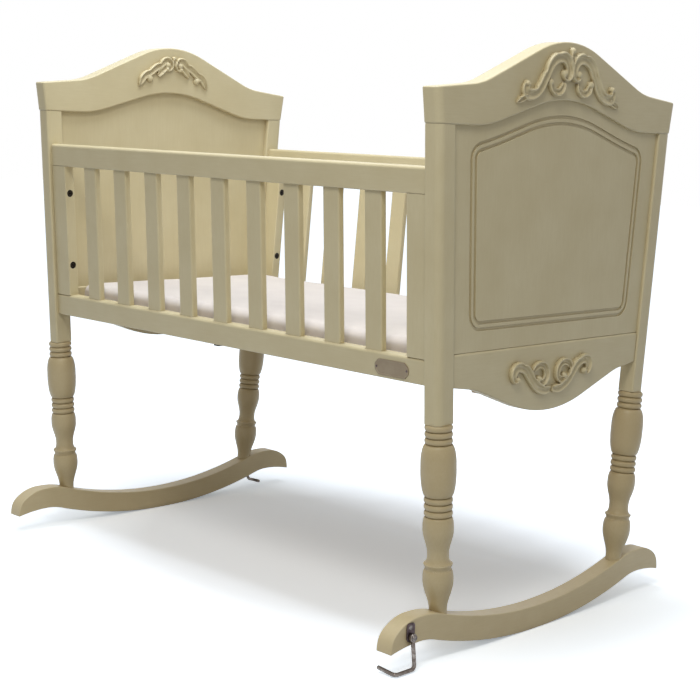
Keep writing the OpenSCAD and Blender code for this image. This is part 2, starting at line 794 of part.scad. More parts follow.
// The screw that holds the front bracket to its rail, or its hole, in the leaning frame.
module bracket_screw(grow) {
    translate([bracket_x, bracket_t - rail_in, low_rail_bottom + 24]) rotate([90, 0, 0]) {
        cylinder(d = 3.5 + grow, h = 16 + grow, $fn = small);
        if (grow == 0) translate([0, 0, -1.8]) cylinder(d = 7, h = 1.8, $fn = small);
    }
}

module board_brackets() {
    low = board_z - lip_t;
    color(dark_steel) for (side = SIDES) rotate([0, 0, side == "front" ? 0 : 180]) difference() {
        union() {
            intersection() {
                leaning() translate([bracket_x - bracket_w / 2, -rail_in, low - 20])
                    cube([bracket_w, bracket_t, 60]);
                translate([bracket_x - bracket_w, -2 * foot_y, low]) cube([2 * bracket_w, 2 * foot_y, 50]);
            }
            translate([bracket_x - bracket_w / 2, -rail_in_y(board_z), low]) cube([bracket_w, lip_l, lip_t]);
        }
        leaning() bracket_screw(fit);
    }
}

module board_screws() {
    color(bright_steel) {
        for (end = ENDS) at_end(end) cleat_screws(0);
        for (side = SIDES) at_side(side) bracket_screw(0);
    }
}

// Rings of the mattress from its base to its crown: [share of the height, share of the width]
RINGS = [[0, 0.985], [0.1, 1], [0.45, 1.008], [0.75, 1], [0.86, 0.985], [0.91, 0.965], [0.94, 0.93],
         [0.965, 0.84], [0.985, 0.65], [0.995, 0.4], [1, 0.2]];
ring_n = 72;          // points in a ring
draw_in = 4;          // distance that a side draws in between its corners

// A ring's share of the length, so that near the edge it lies as far in as across the width.
function share(k) = k > 0.9 ? 1 - (1 - k) * mattress_w / mattress_l : k;

function mattress_point(t, k) =
    let (x = sign(cos(t)) * pow(abs(cos(t)), 0.22), y = sign(sin(t)) * pow(abs(sin(t)), 0.22))
    [x * (mattress_l / 2 - draw_in * (1 - y * y)) * share(k),
     y * (mattress_w / 2 - draw_in * (1 - x * x)) * k];

module mattress() {
    last = len(RINGS) - 1;
    points = [for (r = RINGS, i = [0 : ring_n - 1])
        let (p = mattress_point(360 * (i + 0.5) / ring_n, r[1]))
        [p[0], p[1], bed_top + slip + mattress_h * r[0]]];
    sides = [for (k = [0 : last - 1], i = [0 : ring_n - 1])
        let (j = (i + 1) % ring_n, a = k * ring_n, b = a + ring_n)
        each [[a + i, b + i, b + j], [a + i, b + j, a + j]]];
    base = [for (i = [0 : ring_n - 1]) i];
    crown = [for (i = [ring_n - 1 : -1 : 0]) last * ring_n + i];
    color(linen) polyhedron(points, concat(sides, [base, crown]), convexity = 4);
}

// ---- Nameplate ----

plate_x = inner_x - plate_in;
plate_s = (low_rail_bottom + low_rail_top) / 2 - plate_drop;
sheet_t = 1.2;        // thickness of the bare plate

// The nails of the bare plate, or their holes, in the leaning frame.
module plate_nails(grow) {
    for (way = [-1, 1]) translate([plate_x + way * (plate_l / 2 - 3.5), -rail_out, plate_s])
        rotate([90, 0, 0]) {
            translate([0, 0, -8 - grow]) cylinder(d = 1.6 + grow, h = 8 + sheet_t + slip, $fn = small);
            if (grow == 0) translate([0, 0, sheet_t]) cylinder(d1 = 3.6, d2 = 2.2, h = 0.9, $fn = small);
        }
}

module nameplate() {
    clip = 7.5;
    a = plate_l / 2;
    b = plate_h / 2;
    color(bronze) leaning() difference() {
        translate([plate_x, -rail_out, plate_s]) rotate([90, 0, 0]) linear_extrude(sheet_t)
            polygon(rounded([[-a, -b + clip], [-a + clip, -b], [a - clip, -b], [a, -b + clip],
                             [a, b - clip], [a - clip, b], [-a + clip, b], [-a, b - clip]],
                            [for (i = [0 : 7]) 3]));
        plate_nails(fit);
    }
}

module nameplate_nails() {
    color(bronze) leaning() plate_nails(0);
}

// ---- Carvings, drawn as (y, z) from the foot of the board that carries them ----

// A band of width w along one arc or straight, from the origin along +x.
module stretch(arc, w) {
    way = sign(arc[1]);
    inner = max(arc[0] - w / 2, 0.1);
    n = ceil(abs(arc[1]) / 22.5);
    if (arc[0] == 0) translate([0, -w / 2]) square([arc[1], w]);
    else polygon(concat(
        [for (i = [0 : n]) let (t = abs(arc[1]) * i / n)
            [(arc[0] + w / 2) * sin(t), way * (arc[0] - (arc[0] + w / 2) * cos(t))]],
        [for (i = [n : -1 : 0]) let (t = abs(arc[1]) * i / n)
            [inner * sin(t), way * (arc[0] - inner * cos(t))]]));
}

// Arcs of a carving's drawing, at their real size.
function real_arcs(arcs) =
    [for (a = arcs) a[0] == 0 ? [0, a[1] * carve_unit] : [a[0] * carve_unit, a[1]]];

// One band of a scroll that follows arcs from a point and heading, with round ends.
module scroll(p, h, arcs, w) {
    sized = real_arcs(arcs);
    path = trace(p * carve_unit, h, sized);
    for (i = [0 : len(arcs) - 1]) translate(path[i][0]) rotate(path[i][1]) stretch(sized[i], w);
    for (q = [path[0][0], path[len(arcs)][0]]) translate(q) circle(d = w, $fn = 16);
}

// Raises a drawn figure off its board, with an upper layer set in from the edge.
module carved(h) {
    linear_extrude(h / 2) offset(delta = -carve_ease) offset(delta = carve_ease) children();
    linear_extrude(h) offset(delta = -carve_step) children();
}

pair_drop = 5;        // distance that the crest's outer scrolls hang below their drawing
apron_drop = 3;       // the same for the apron's scrolls

module pair() {
    children();
    mirror([1, 0, 0]) children();
}

module outer_scroll() {
    translate([0, -pair_drop]) pair() {
        scroll([27, 44], -90, [[8, -90], [11, -90], [18, -90], [34, -58], [0, 30], [34, 58], [12, 150]],
               scroll_w);
        scroll([18, 28], -90, [[15, 150], [0, 9]], scroll_small_w);
        scroll([103, 4], -8, [[60, -25]], scroll_small_w);
    }
    scroll([0, 54], 90, [[0, 22]], scroll_small_w);
}

module apron_scroll() {
    pair() {
        scroll([4, 37], -8, [[50, 8], [50, 48], [0, 20], [32, -48], [12, -95], [8, -110]], scroll_w);
        scroll([50, 67], 120, [[22, 60], [17, 85], [12, 90], [7, 90]], scroll_small_w);
    }
}

module inner_scroll() {
    pair() {
        scroll([17, 52], -90, [[6, -90], [7, -90], [13, -90], [26, -50], [0, 8], [24, 30], [40, -45], [0, 14]],
               scroll_small_w);
        scroll([40, 39], -40, [[0, 12]], scroll_small_w);
        translate([57, 27] * carve_unit) circle(d = 18 * carve_unit, $fn = 24);
    }
    scroll([0, 58], 90, [[0, 11]], scroll_small_w);
}

module crest_scrolls_outer() {
    color(cream) for (end = ENDS) at_end(end)
        translate([crest_x, 0, crest_under]) rotate([90, 0, 90]) carved(carve_h) outer_scroll();
}

module crest_scrolls_inner() {
    color(cream) for (end = ENDS) at_end(end)
        translate([crest_x - crest_t, 0, crest_under]) rotate([90, 0, -90]) carved(carve_h) inner_scroll();
}

module apron_scrolls() {
    color(cream) for (end = ENDS) at_end(end)
        translate([apron_x, 0, apron_low - apron_drop]) rotate([90, 0, 90])
            carved(carve_h) apron_scroll();
}

// ---- The pieces ----

crest("head");  // head_crest
crest("foot");  // foot_crest
panel("head");  // head_panel
panel("foot");  // foot_panel
apron("head");  // head_apron
apron("foot");  // foot_apron
post("head", "front");  // post_head_front
post("head", "back");  // post_head_back
post("foot", "front");  // post_foot_front
post("foot", "back");  // post_foot_back
leg("head", "front");  // leg_head_front
leg("head", "back");  // leg_head_back
leg("foot", "front");  // leg_foot_front
leg("foot", "back");  // leg_foot_back
top_rail("front");  // front_top_rail
top_rail("back");  // back_top_rail
bottom_rail("front");  // front_bottom_rail
bottom_rail("back");  // back_bottom_rail
stile("head", "front");  // stile_head_front
stile("head", "back");  // stile_head_back
stile("foot", "front");  // stile_foot_front
stile("foot", "back");  // stile_foot_back
for (side = SIDES, n = [1 : slat_count])
    slat(side, n);
crest_scrolls_outer();
crest_scrolls_inner();
apron_scrolls();
mattress();
mattress_board();
board_cleats();
board_brackets();
board_screws();
side_bolts();
threaded_inserts();
frame_dowels();
rocker_screws();
rocker("head");  // head_rocker
rocker("foot");  // foot_rocker
stop_plates();
stop_screws();
stop_rod("head", 0);  // head_stop_rod
stop_rod("foot", parked);  // foot_stop_rod
nameplate();
nameplate_nails();
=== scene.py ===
"""Looks of a rocking cradle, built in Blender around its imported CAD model.

Every length in this file is in metres unless a name or comment says millimetres.
X runs from the foot board to the head board, Y from front to back and Z up.
"""

import logging
import math
from collections.abc import Iterator, Sequence
from dataclasses import dataclass, field
from enum import Enum
from functools import lru_cache

import bmesh
import bpy
from bmesh.types import BMEdge, BMesh, BMFace, BMVert
from bpy.types import ID, Material, Mesh, Node, NodeSocket, NodeTree, Object, World
from mathutils import Matrix, Vector
from mathutils.bvhtree import BVHTree


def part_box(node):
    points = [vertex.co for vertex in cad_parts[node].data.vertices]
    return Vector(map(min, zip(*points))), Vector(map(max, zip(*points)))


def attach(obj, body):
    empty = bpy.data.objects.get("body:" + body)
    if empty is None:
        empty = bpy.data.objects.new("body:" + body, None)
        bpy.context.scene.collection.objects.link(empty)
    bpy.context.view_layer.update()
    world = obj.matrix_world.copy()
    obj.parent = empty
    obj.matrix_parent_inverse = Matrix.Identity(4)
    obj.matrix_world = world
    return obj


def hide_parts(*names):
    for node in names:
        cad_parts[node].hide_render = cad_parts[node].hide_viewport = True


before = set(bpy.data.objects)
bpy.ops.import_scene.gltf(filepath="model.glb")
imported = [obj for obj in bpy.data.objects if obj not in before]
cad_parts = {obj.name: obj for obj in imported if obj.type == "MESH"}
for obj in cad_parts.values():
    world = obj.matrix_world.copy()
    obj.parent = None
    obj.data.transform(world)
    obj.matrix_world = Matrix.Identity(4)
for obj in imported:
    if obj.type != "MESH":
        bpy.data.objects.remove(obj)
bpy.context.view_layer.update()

LOG = logging.getLogger("cradle")
MM = 0.001
Spot = tuple[float, float]
ENDS = ("head", "foot")
SIDES = ("front", "back")
LEAN = math.radians(3.7)
FOOT_Y = 224.8 * MM
OUTER_X = 495 * MM
POST_X = 480 * MM
HALF_TURN = Matrix.Rotation(math.pi, 4, "Z")
LEANING = Matrix.Translation((0, -FOOT_Y, 0)) @ Matrix.Rotation(LEAN, 4, "X")


# ---- Shader node groups and finishes ----


class Grain(Enum):
    """The way in which a board was brushed, as the stretch of its pattern along X, Y and Z."""

    LENGTHWISE = (0.07, 1.0, 1.0)
    ACROSS = (1.0, 0.07, 1.0)
    UPRIGHT = (1.0, 1.0, 0.07)
    ROUND = (1.0, 1.0, 0.6)


class NodeSheet:
    """A node tree that is being laid out, with short ways to add nodes and join them."""

    def __init__(self, tree: NodeTree) -> None:
        """Keeps the tree to fill."""
        self.tree = tree

    def add(self, kind: str, **settings: object) -> Node:
        """Adds a node.

        Args:
            kind: The node's type name without its ShaderNode prefix.
            settings: Its properties, and values or outputs for its inputs, by name.

        Returns:
            The new node.
        """
        name = kind if kind.startswith("Node") else f"ShaderNode{kind}"
        node = self.tree.nodes.new(name)
        for key, value in settings.items():
            sockets = [s for s in node.inputs if s.name.lower().replace(" ", "_") == key]
            if sockets:
                self.feed(sockets[0], value)
            else:
                setattr(node, key, value)
        return node

    def feed(self, socket: NodeSocket, value: object) -> None:
        """Links an output to a socket, or sets the socket's own value.

        Args:
            socket: The input socket.
            value: An output socket, a number, a vector or a colour.
        """
        if isinstance(value, NodeSocket):
            self.tree.links.new(value, socket)
        elif value is not None:
            socket.default_value = value

    def fill(self, node: Node, *values: object) -> Node:
        """Feeds a node's inputs in their order.

        Args:
            node: The node.
            values: What each input gets.

        Returns:
            The same node.
        """
        for socket, value in zip(node.inputs, values):
            self.feed(socket, value)
        return node

    def math(self, operation: str, a: object, b: object, clamp: bool = False) -> NodeSocket:
        """Works with two values, and keeps the result between 0 and 1 if it is to be clamped."""
        return self.fill(self.add("Math", operation=operation, use_clamp=clamp), a, b).outputs[0]

    def vector(self, operation: str, *values: object) -> Node:
        """Adds a Vector Math node with these values or outputs."""
        return self.fill(self.add("VectorMath", operation=operation), *values)

    def mix(self, factor: object, a: object, b: object) -> NodeSocket:
        """Mixes two colours.

        Args:
            factor: Share of the second colour.
            a: The first colour.
            b: The second colour.

        Returns:
            The result's socket.
        """
        node = self.add("Mix", data_type="RGBA")
        for number, value in ((0, factor), (6, a), (7, b)):
            self.feed(node.inputs[number], value)
        return node.outputs[2]

    def layer(self, base: object, *coats: tuple[object, float, object]) -> NodeSocket:
        """Lays coats over a colour.

        Args:
            base: The colour.
            coats: Each coat's mask, its share and its colour.

        Returns:
            The result's socket.
        """
        for mask, share, tint in coats:
            base = self.mix(self.math("MULTIPLY", mask, share), base, tint)
        return base

    def band(
        self, value: object, low: float, high: float, to_low: float = 0.0, to_high: float = 1.0
    ) -> NodeSocket:
        """Maps the range from low to high to another one, and keeps the result in it."""
        return self.fill(self.add("MapRange"), value, low, high, to_low, to_high).outputs[0]

    def place(self) -> NodeSocket:
        """The place on the piece, in metres."""
        return self.add("TexCoord").outputs["Object"]


def colour(red: int, green: int, blue: int) -> tuple[float, float, float, float]:
    """Turns an sRGB colour of 0 to 255 into Blender's linear one, with full alpha."""
    parts = [c / 255 for c in (red, green, blue)]
    return (*(c / 12.92 if c <= 0.04045 else ((c + 0.055) / 1.055) ** 2.4 for c in parts), 1.0)


def blank_sheet(owner: Material | World) -> NodeSheet:
    """Gives a material or a world an empty sheet of nodes.

    Args:
        owner: The material or the world.

    Returns:
        Its sheet.
    """
    owner.use_nodes = True
    owner.node_tree.nodes.clear()
    return NodeSheet(owner.node_tree)


def open_group(
    name: str, inputs: dict[str, tuple[str, object]], outputs: dict[str, str]
) -> tuple[NodeSheet, Node, Node]:
    """Starts a shader node group.

    Args:
        name: The group's name.
        inputs: Kind of socket and value of each input, by name.
        outputs: Kind of socket of each output, by name.

    Returns:
        The group's sheet, its input node and its output node.
    """
    tree = bpy.data.node_groups.new(name, "ShaderNodeTree")
    for label, (kind, value) in inputs.items():
        socket = tree.interface.new_socket(label, in_out="INPUT", socket_type=f"NodeSocket{kind}")
        socket.default_value = value
    for label, kind in outputs.items():
        tree.interface.new_socket(label, in_out="OUTPUT", socket_type=f"NodeSocket{kind}")
    sheet = NodeSheet(tree)
    return sheet, sheet.add("NodeGroupInput"), sheet.add("NodeGroupOutput")


@lru_cache
def relief_group() -> NodeTree:
    """Masks of what lies deep and of what stands out: the recesses, where the paint gets painted shade and
    metal gets patina, and the arrises, which get rubbed wear and a painted highlight.

    Returns:
        The group, with outputs Recess and Arris.
    """
    sheet, given, out = open_group(
        "relief masks",
        {"Reach": ("Float", 0.02), "Arris Width": ("Float", 0.002)},
        {"Recess": "Float", "Arris": "Float"},
    )
    # Ambient occlusion, strongest where shade falls in recesses: painted shade on the paint, patina on metal.
    depth = sheet.add("AmbientOcclusion", samples=6, distance=given.outputs["Reach"])
    recess = sheet.band(depth.outputs["AO"], 0.95, 0.35)
    # Arrises, lightened as a painted highlight together with rubbed wear.
    rounded = sheet.add("Bevel", samples=4, radius=given.outputs["Arris Width"])
    alike = sheet.vector("DOT_PRODUCT", rounded.outputs[0], sheet.add("NewGeometry").outputs["Normal"])
    bent = sheet.band(alike.outputs["Value"], 0.995, 0.86)
    open_air = sheet.math("SUBTRACT", 1.0, recess, clamp=True)
    sheet.fill(out, recess, sheet.math("MULTIPLY", bent, open_air, clamp=True))
    return sheet.tree


@lru_cache
def brushing_group() -> NodeTree:
    """Brush strokes that run one way, and the broad unevenness of a hand-painted coat.

    Returns:
        The group, with outputs Strokes, Mottle and Height.
    """
    sheet, given, out = open_group(
        "brushing",
        {"Stretch": ("Vector", (1.0, 1.0, 1.0)), "Fineness": ("Float", 420.0)},
        {"Strokes": "Float", "Mottle": "Float", "Height": "Float"},
    )
    place = sheet.place()
    along = sheet.add("Mapping", vector=place, scale=given.outputs["Stretch"]).outputs[0]
    streaks = sheet.add("TexNoise", vector=along, scale=given.outputs["Fineness"], detail=3.0, roughness=0.6)
    mottle = sheet.add("TexNoise", vector=place, scale=11.0, detail=4.0, roughness=0.55)
    grit = sheet.add("TexNoise", vector=place, scale=900.0, detail=2.0)
    height = sheet.math("ADD", streaks.outputs[0], sheet.math("MULTIPLY", grit.outputs[0], 0.25))
    strokes = sheet.band(streaks.outputs[0], 0.3, 0.7)
    sheet.fill(out, strokes, sheet.band(mottle.outputs[0], 0.32, 0.68), height)
    return sheet.tree


@dataclass(frozen=True)
class Finish:
    """A material's title, and what every finish does in the same way."""

    title: str

    def start(self, **settings: float) -> tuple[Material, NodeSheet, Node]:
        """Starts the finish's material with its one shader.

        Args:
            settings: Values of the Principled shader's inputs, by name.

        Returns:
            The material, its sheet and its Principled shader.
        """
        material = bpy.data.materials.new(self.title)
        sheet = blank_sheet(material)
        shader = sheet.add("BsdfPrincipled", **settings)
        sheet.add("OutputMaterial", surface=shader.outputs[0])
        return material, sheet, shader

    def bump(
        self, sheet: NodeSheet, shader: Node, height: object, strength: float, distance: float
    ) -> None:
        """Bumps the Principled shader by a height, of which distance is the real size."""
        node = sheet.add("Bump", strength=strength, distance=distance, height=height)
        sheet.feed(shader.inputs["Normal"], node.outputs[0])


@dataclass(frozen=True)
class CreamPaint(Finish):
    """Hand-brushed cream paint, with painted shade in its recesses that stands also for an aged glaze, and
    with rubbed wear and a painted highlight on its arrises.
    """

    grain: Grain
    coat: tuple = colour(217, 207, 172)
    shade: tuple = colour(203, 190, 150)
    # Colour of the painted shade in recesses, which stands also for an aged glaze.
    glaze_and_shade: tuple = colour(140, 118, 76)
    # Colour of the painted highlight on arrises, which stands also for rubbed wear.
    rub_and_highlight: tuple = colour(232, 224, 198)
    # Shares of the painted shade in recesses and of the painted highlight on arrises.
    glaze_and_shade_share: float = 0.32
    rub_and_highlight_share: float = 0.5
    mottling: float = 0.55
    streaking: float = 0.28
    roughness: tuple = (0.38, 0.52)
    reach: float = 0.012
    arris: float = 0.0022

    def build(self) -> Material:
        """Lays out the paint.

        Returns:
            The material.
        """
        material, sheet, shader = self.start(specular_ior_level=0.4, coat_weight=0.18, coat_roughness=0.32)
        brush = sheet.add("Group", node_tree=brushing_group(), stretch=self.grain.value)
        relief = sheet.add("Group", node_tree=relief_group(), reach=self.reach, arris_width=self.arris)
        coat = sheet.layer(
            self.coat,
            (brush.outputs["Mottle"], self.mottling, self.shade),
            (brush.outputs["Strokes"], self.streaking, self.shade),
            # Painted shade: recesses darkened by ambient occlusion, standing also for glaze.
            (relief.outputs["Recess"], self.glaze_and_shade_share, self.glaze_and_shade),
            # Painted highlight: arrises lightened, together with rubbed wear.
            (relief.outputs["Arris"], self.rub_and_highlight_share, self.rub_and_highlight),
        )
        sheet.feed(shader.inputs["Base Color"], coat)
        rough = sheet.band(brush.outputs["Strokes"], 0.0, 1.0, *self.roughness)
        sheet.feed(shader.inputs["Roughness"], rough)
        self.bump(sheet, shader, brush.outputs["Height"], 0.22, 0.0005)
        return material


@dataclass(frozen=True)
class Cotton(Finish):
    """Plain woven cotton, washed and a little uneven."""

    cloth: tuple = colour(230, 224, 222)
    shade: tuple = colour(219, 212, 211)
    weave_scale: float = 45.0

    def build(self) -> Material:
        """Lays out the cotton.

        Returns:
            The material.
        """
        material, sheet, shader = self.start(
            roughness=0.9, sheen_weight=0.25, sheen_roughness=0.5, specular_ior_level=0.2
        )
        place = sheet.place()
        warp, weft = (
            sheet.add("TexWave", bands_direction=way, vector=place, scale=self.weave_scale, distortion=0.6)
            for way in ("X", "Y")
        )
        weave = sheet.math("MULTIPLY", warp.outputs["Fac"], weft.outputs["Fac"])
        rumple = sheet.add("TexNoise", vector=place, scale=14.0, detail=3.0, roughness=0.5)
        tone = sheet.band(rumple.outputs[0], 0.35, 0.65)
        cloth = sheet.layer(self.cloth, (tone, 0.5, self.shade), (weave, 0.15, self.shade))
        sheet.feed(shader.inputs["Base Color"], cloth)
        height = sheet.math("ADD", sheet.math("MULTIPLY", weave, 0.12), tone)
        self.bump(sheet, shader, height, 0.35, 0.0015)
        return material


@dataclass(frozen=True)
class Metal(Finish):
    """A metal with a mottled patina, darker with patina in its recesses, and brighter on its arrises with
    rubbed wear and a painted highlight.
    """

    bare: tuple
    patina: tuple
    # Colour on the arrises: a painted highlight together with rubbed wear.
    rub_and_highlight: tuple
    metallic: float = 0.85
    roughness: tuple = (0.3, 0.5)
    fineness: float = 160.0

    def build(self) -> Material:
        """Lays out the metal.

        Returns:
            The material.
        """
        material, sheet, shader = self.start(metallic=self.metallic)
        spots = sheet.add("TexNoise", vector=sheet.place(), scale=self.fineness, detail=4.0, roughness=0.6)
        relief = sheet.add("Group", node_tree=relief_group(), reach=0.006, arris_width=0.0006)
        tone = sheet.band(spots.outputs[0], 0.35, 0.65)
        face = sheet.layer(
            sheet.mix(tone, self.bare, self.patina),
            (relief.outputs["Recess"], 0.5, self.patina),
            # Painted highlight on the arrises, together with rubbed wear.
            (relief.outputs["Arris"], 0.6, self.rub_and_highlight),
        )
        sheet.feed(shader.inputs["Base Color"], face)
        sheet.feed(shader.inputs["Roughness"], sheet.band(tone, 0.0, 1.0, *self.roughness))
        self.bump(sheet, shader, spots.outputs[0], 0.12, 0.0003)
        return material


@dataclass(frozen=True)
class BareWood(Finish):
    """Unpainted beech with its grain along one way."""

    grain: Grain
    light: tuple = colour(214, 186, 142)
    dark: tuple = colour(184, 150, 104)

    def build(self) -> Material:
        """Lays out the wood.

        Returns:
            The material.
        """
        material, sheet, shader = self.start()
        brush = sheet.add("Group", node_tree=brushing_group(), stretch=self.grain.value, fineness=150.0)
        tone = sheet.math("MULTIPLY", brush.outputs["Strokes"], 0.8)
        face = sheet.layer(sheet.mix(tone, self.light, self.dark), (brush.outputs["Mottle"], 0.3, self.dark))
        sheet.feed(shader.inputs["Base Color"], face)
        sheet.feed(shader.inputs["Roughness"], sheet.band(tone, 0.0, 1.0, 0.55, 0.7))
        self.bump(sheet, shader, brush.outputs["Height"], 0.2, 0.0004)
        return material


@lru_cache
def material_of(finish: Finish) -> Material:
    """Builds a finish's material once."""
    return finish.build()


PAINT = {grain: CreamPaint(f"cream paint {grain.name.lower()}", grain) for grain in Grain}
# The carving gets stronger painted shade in its hollows and a stronger painted highlight on its arrises.
CARVED_PAINT = CreamPaint(
    "cream paint on carving", Grain.ROUND, glaze_and_shade_share=0.85, rub_and_highlight_share=0.7, reach=0.006, arris=0.0016
)
LEG_PAINT = CreamPaint(
    "cream paint on legs", Grain.ROUND,
    coat=colour(202, 187, 149), shade=colour(184, 165, 123), glaze_and_shade_share=0.6,
)
ROCKER_PAINT = CreamPaint(
    "cream paint on rockers", Grain.ACROSS,
    coat=colour(221, 207, 169), shade=colour(205, 187, 144), glaze_and_shade_share=0.5,
)
COTTON = Cotton("cotton cover")
BRONZE = Metal(
    "bronze plate", colour(142, 127, 104), colour(132, 116, 94), colour(172, 158, 132),
    metallic=0.35, roughness=(0.44, 0.52), fineness=45.0,
)
BLACK_STEEL = Metal(
    "black steel", colour(52, 46, 40), colour(34, 30, 26), colour(90, 84, 78), roughness=(0.4, 0.55)
)
DARK_STEEL = Metal(
    "dark steel", colour(88, 74, 76), colour(60, 48, 50), colour(150, 138, 134), roughness=(0.32, 0.48)
)
# The rod's bright arris colour is mostly a painted highlight, together with rubbed wear.
ROD_STEEL = Metal(
    "rod steel", colour(138, 130, 124), colour(98, 88, 82), colour(205, 200, 194), roughness=(0.18, 0.32)
)
OLD_ZINC = Metal(
    "aged zinc", colour(124, 117, 113), colour(84, 76, 74), colour(196, 192, 188), roughness=(0.22, 0.36)
)
ZINC = Metal(
    "zinc", colour(176, 175, 170), colour(140, 138, 132), colour(215, 214, 210), roughness=(0.25, 0.4)
)
LONG_WOOD = BareWood("bare wood lengthwise", Grain.LENGTHWISE)
CROSS_WOOD = BareWood("bare wood across", Grain.ACROSS)


# ---- Mesh helpers ----


def at_corner(end: str, side: str) -> Matrix:
    """The placing of a corner piece that was drawn for the head board's front corner."""
    return Matrix.Diagonal((1 if end == "head" else -1, 1 if side == "front" else -1, 1, 1))


def at_end(end: str) -> Matrix:
    """The placing of a piece that was drawn for the head board."""
    return Matrix.Identity(4) if end == "head" else HALF_TURN


def trace(
    start: Spot, heading: float, arcs: Sequence[Spot], step: float
) -> list[tuple[Vector, float, float]]:
    """Follows arcs of [radius, turn in degrees], where a radius of 0 is a straight of that length.

    Args:
        start: Where the line starts.
        heading: Its heading in degrees.
        arcs: The arcs, with positive turns to the left.
        step: Longest distance between two points.

    Returns:
        Each point with its heading in radians and its distance from the start.
    """
    point, way, run = Vector(start), math.radians(heading), 0.0
    found = [(point.copy(), way, run)]
    for radius, turn in arcs:
        length = turn if radius == 0 else radius * abs(math.radians(turn))
        count = max(1, math.ceil(length / step))
        for _ in range(count):
            bend = 0.0 if radius == 0 else math.radians(turn) / count
            chord = length / count if radius == 0 else 2 * radius * math.sin(abs(bend) / 2)
            way += bend / 2
            point = point + chord * Vector((math.cos(way), math.sin(way)))
            way += bend / 2
            run += length / count
            found.append((point.copy(), way, run))
    return found


def ring_edges(ring: Sequence[BMVert]) -> list[BMEdge]:
    """The edges that join a closed ring of vertices.

    Args:
        ring: The vertices in order.

    Returns:
        The edges.
    """
    members = set(ring)
    found = {e for v in ring for e in v.link_edges if e.other_vert(v) in members}
    return [e for e in found if len(e.link_faces) < 2]


def loft(bm: BMesh, rings: Sequence[Sequence[Vector]], closed: bool = False) -> None:
    """Grows a skin from ring to ring by extruding, and caps its ends or joins them.

    Args:
        bm: The mesh to add to.
        rings: The rings' points, as many in each.
        closed: Whether the last ring joins the first.
    """
    count = len(rings[0])
    ring = bmesh.ops.create_circle(bm, cap_ends=False, segments=count, radius=1.0)["verts"]
    for vertex, point in zip(ring, rings[0]):
        vertex.co = point
    first = ring_edges(ring)
    edges = first
    for points in rings[1:]:
        grown = bmesh.ops.extrude_edge_only(bm, edges=edges)["geom"]
        fresh = {g for g in grown if isinstance(g, BMVert)}
        ring = [next(e.other_vert(v) for e in v.link_edges if e.other_vert(v) in fresh) for v in ring]
        for vertex, point in zip(ring, points):
            vertex.co = point
        edges = [g for g in grown if isinstance(g, BMEdge) and all(v in fresh for v in g.verts)]
    if closed:
        bmesh.ops.bridge_loops(bm, edges=first + edges)
    else:
        bmesh.ops.edgeloop_fill(bm, edges=first)
        bmesh.ops.edgeloop_fill(bm, edges=edges)


def turned(bm: BMesh, outline: Sequence[Spot], place: Matrix, steps: int) -> None:
    """Turns an outline about the local Z axis and puts it in place.

    Args:
        bm: The mesh to add to.
        outline: Pairs of radius and height, from one end on the axis to the other.
        place: The matrix that places the turning.
        steps: Facets around.
    """
    verts = [bm.verts.new((r, 0.0, z)) for r, z in outline]
    edges = [bm.edges.new(pair) for pair in zip(verts, verts[1:])]
    bmesh.ops.spin(
        bm, geom=verts + edges, cent=(0, 0, 0), axis=(0, 0, 1), dvec=(0, 0, 0),
        angle=2 * math.pi, steps=steps, use_merge=True, use_duplicate=False,
    )
    mine = set(verts)
    front = verts
    while front:
        front = [e.other_vert(v) for v in front for e in v.link_edges if e.other_vert(v) not in mine]
        mine.update(front)
    bmesh.ops.remove_doubles(bm, verts=list(mine), dist=1e-6)
    bmesh.ops.transform(bm, matrix=place, verts=[v for v in mine if v.is_valid])


def link(name: str, data: ID) -> Object:
    """Puts an object in the scene.

    Args:
        name: Its name.
        data: Its mesh, lamp or camera.

    Returns:
        The object.
    """
    made = bpy.data.objects.new(name, data)
    bpy.context.scene.collection.objects.link(made)
    return made


def settle(bm: BMesh, name: str) -> Mesh:
    """Turns a bmesh into a mesh.

    Args:
        bm: The bmesh. It is freed.
        name: Name of the mesh.

    Returns:
        The mesh.
    """
    mesh = bpy.data.meshes.new(name)
    bm.to_mesh(mesh)
    bm.free()
    return mesh


def merged(node: str) -> BMesh:
    """A copy of a CAD solid, with its loose triangles merged and its flat faces whole.

    Args:
        node: The CAD node.

    Returns:
        The copy.
    """
    bm = bmesh.new()
    bm.from_mesh(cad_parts[node].data)
    bmesh.ops.remove_doubles(bm, verts=bm.verts, dist=2e-6)
    bmesh.ops.dissolve_limit(
        bm, angle_limit=math.radians(0.4), use_dissolve_boundaries=False, verts=bm.verts, edges=bm.edges
    )
    return bm


def round_off(
    bm: BMesh, geom: list, radius: float, segments: int,
    affect: str = "EDGES", clamp: bool = False,
) -> None:
    """Rounds edges or corners.

    Args:
        bm: The mesh.
        geom: Its edges, or its vertices.
        radius: How far from the edge the rounding starts.
        segments: Facets of the rounding.
        affect: "EDGES" or "VERTICES".
        clamp: Whether roundings that would meet are made smaller.
    """
    bmesh.ops.bevel(
        bm, geom=geom, offset=radius, offset_type="OFFSET", segments=segments, profile=0.5,
        affect=affect, clamp_overlap=clamp, material=-1,
    )


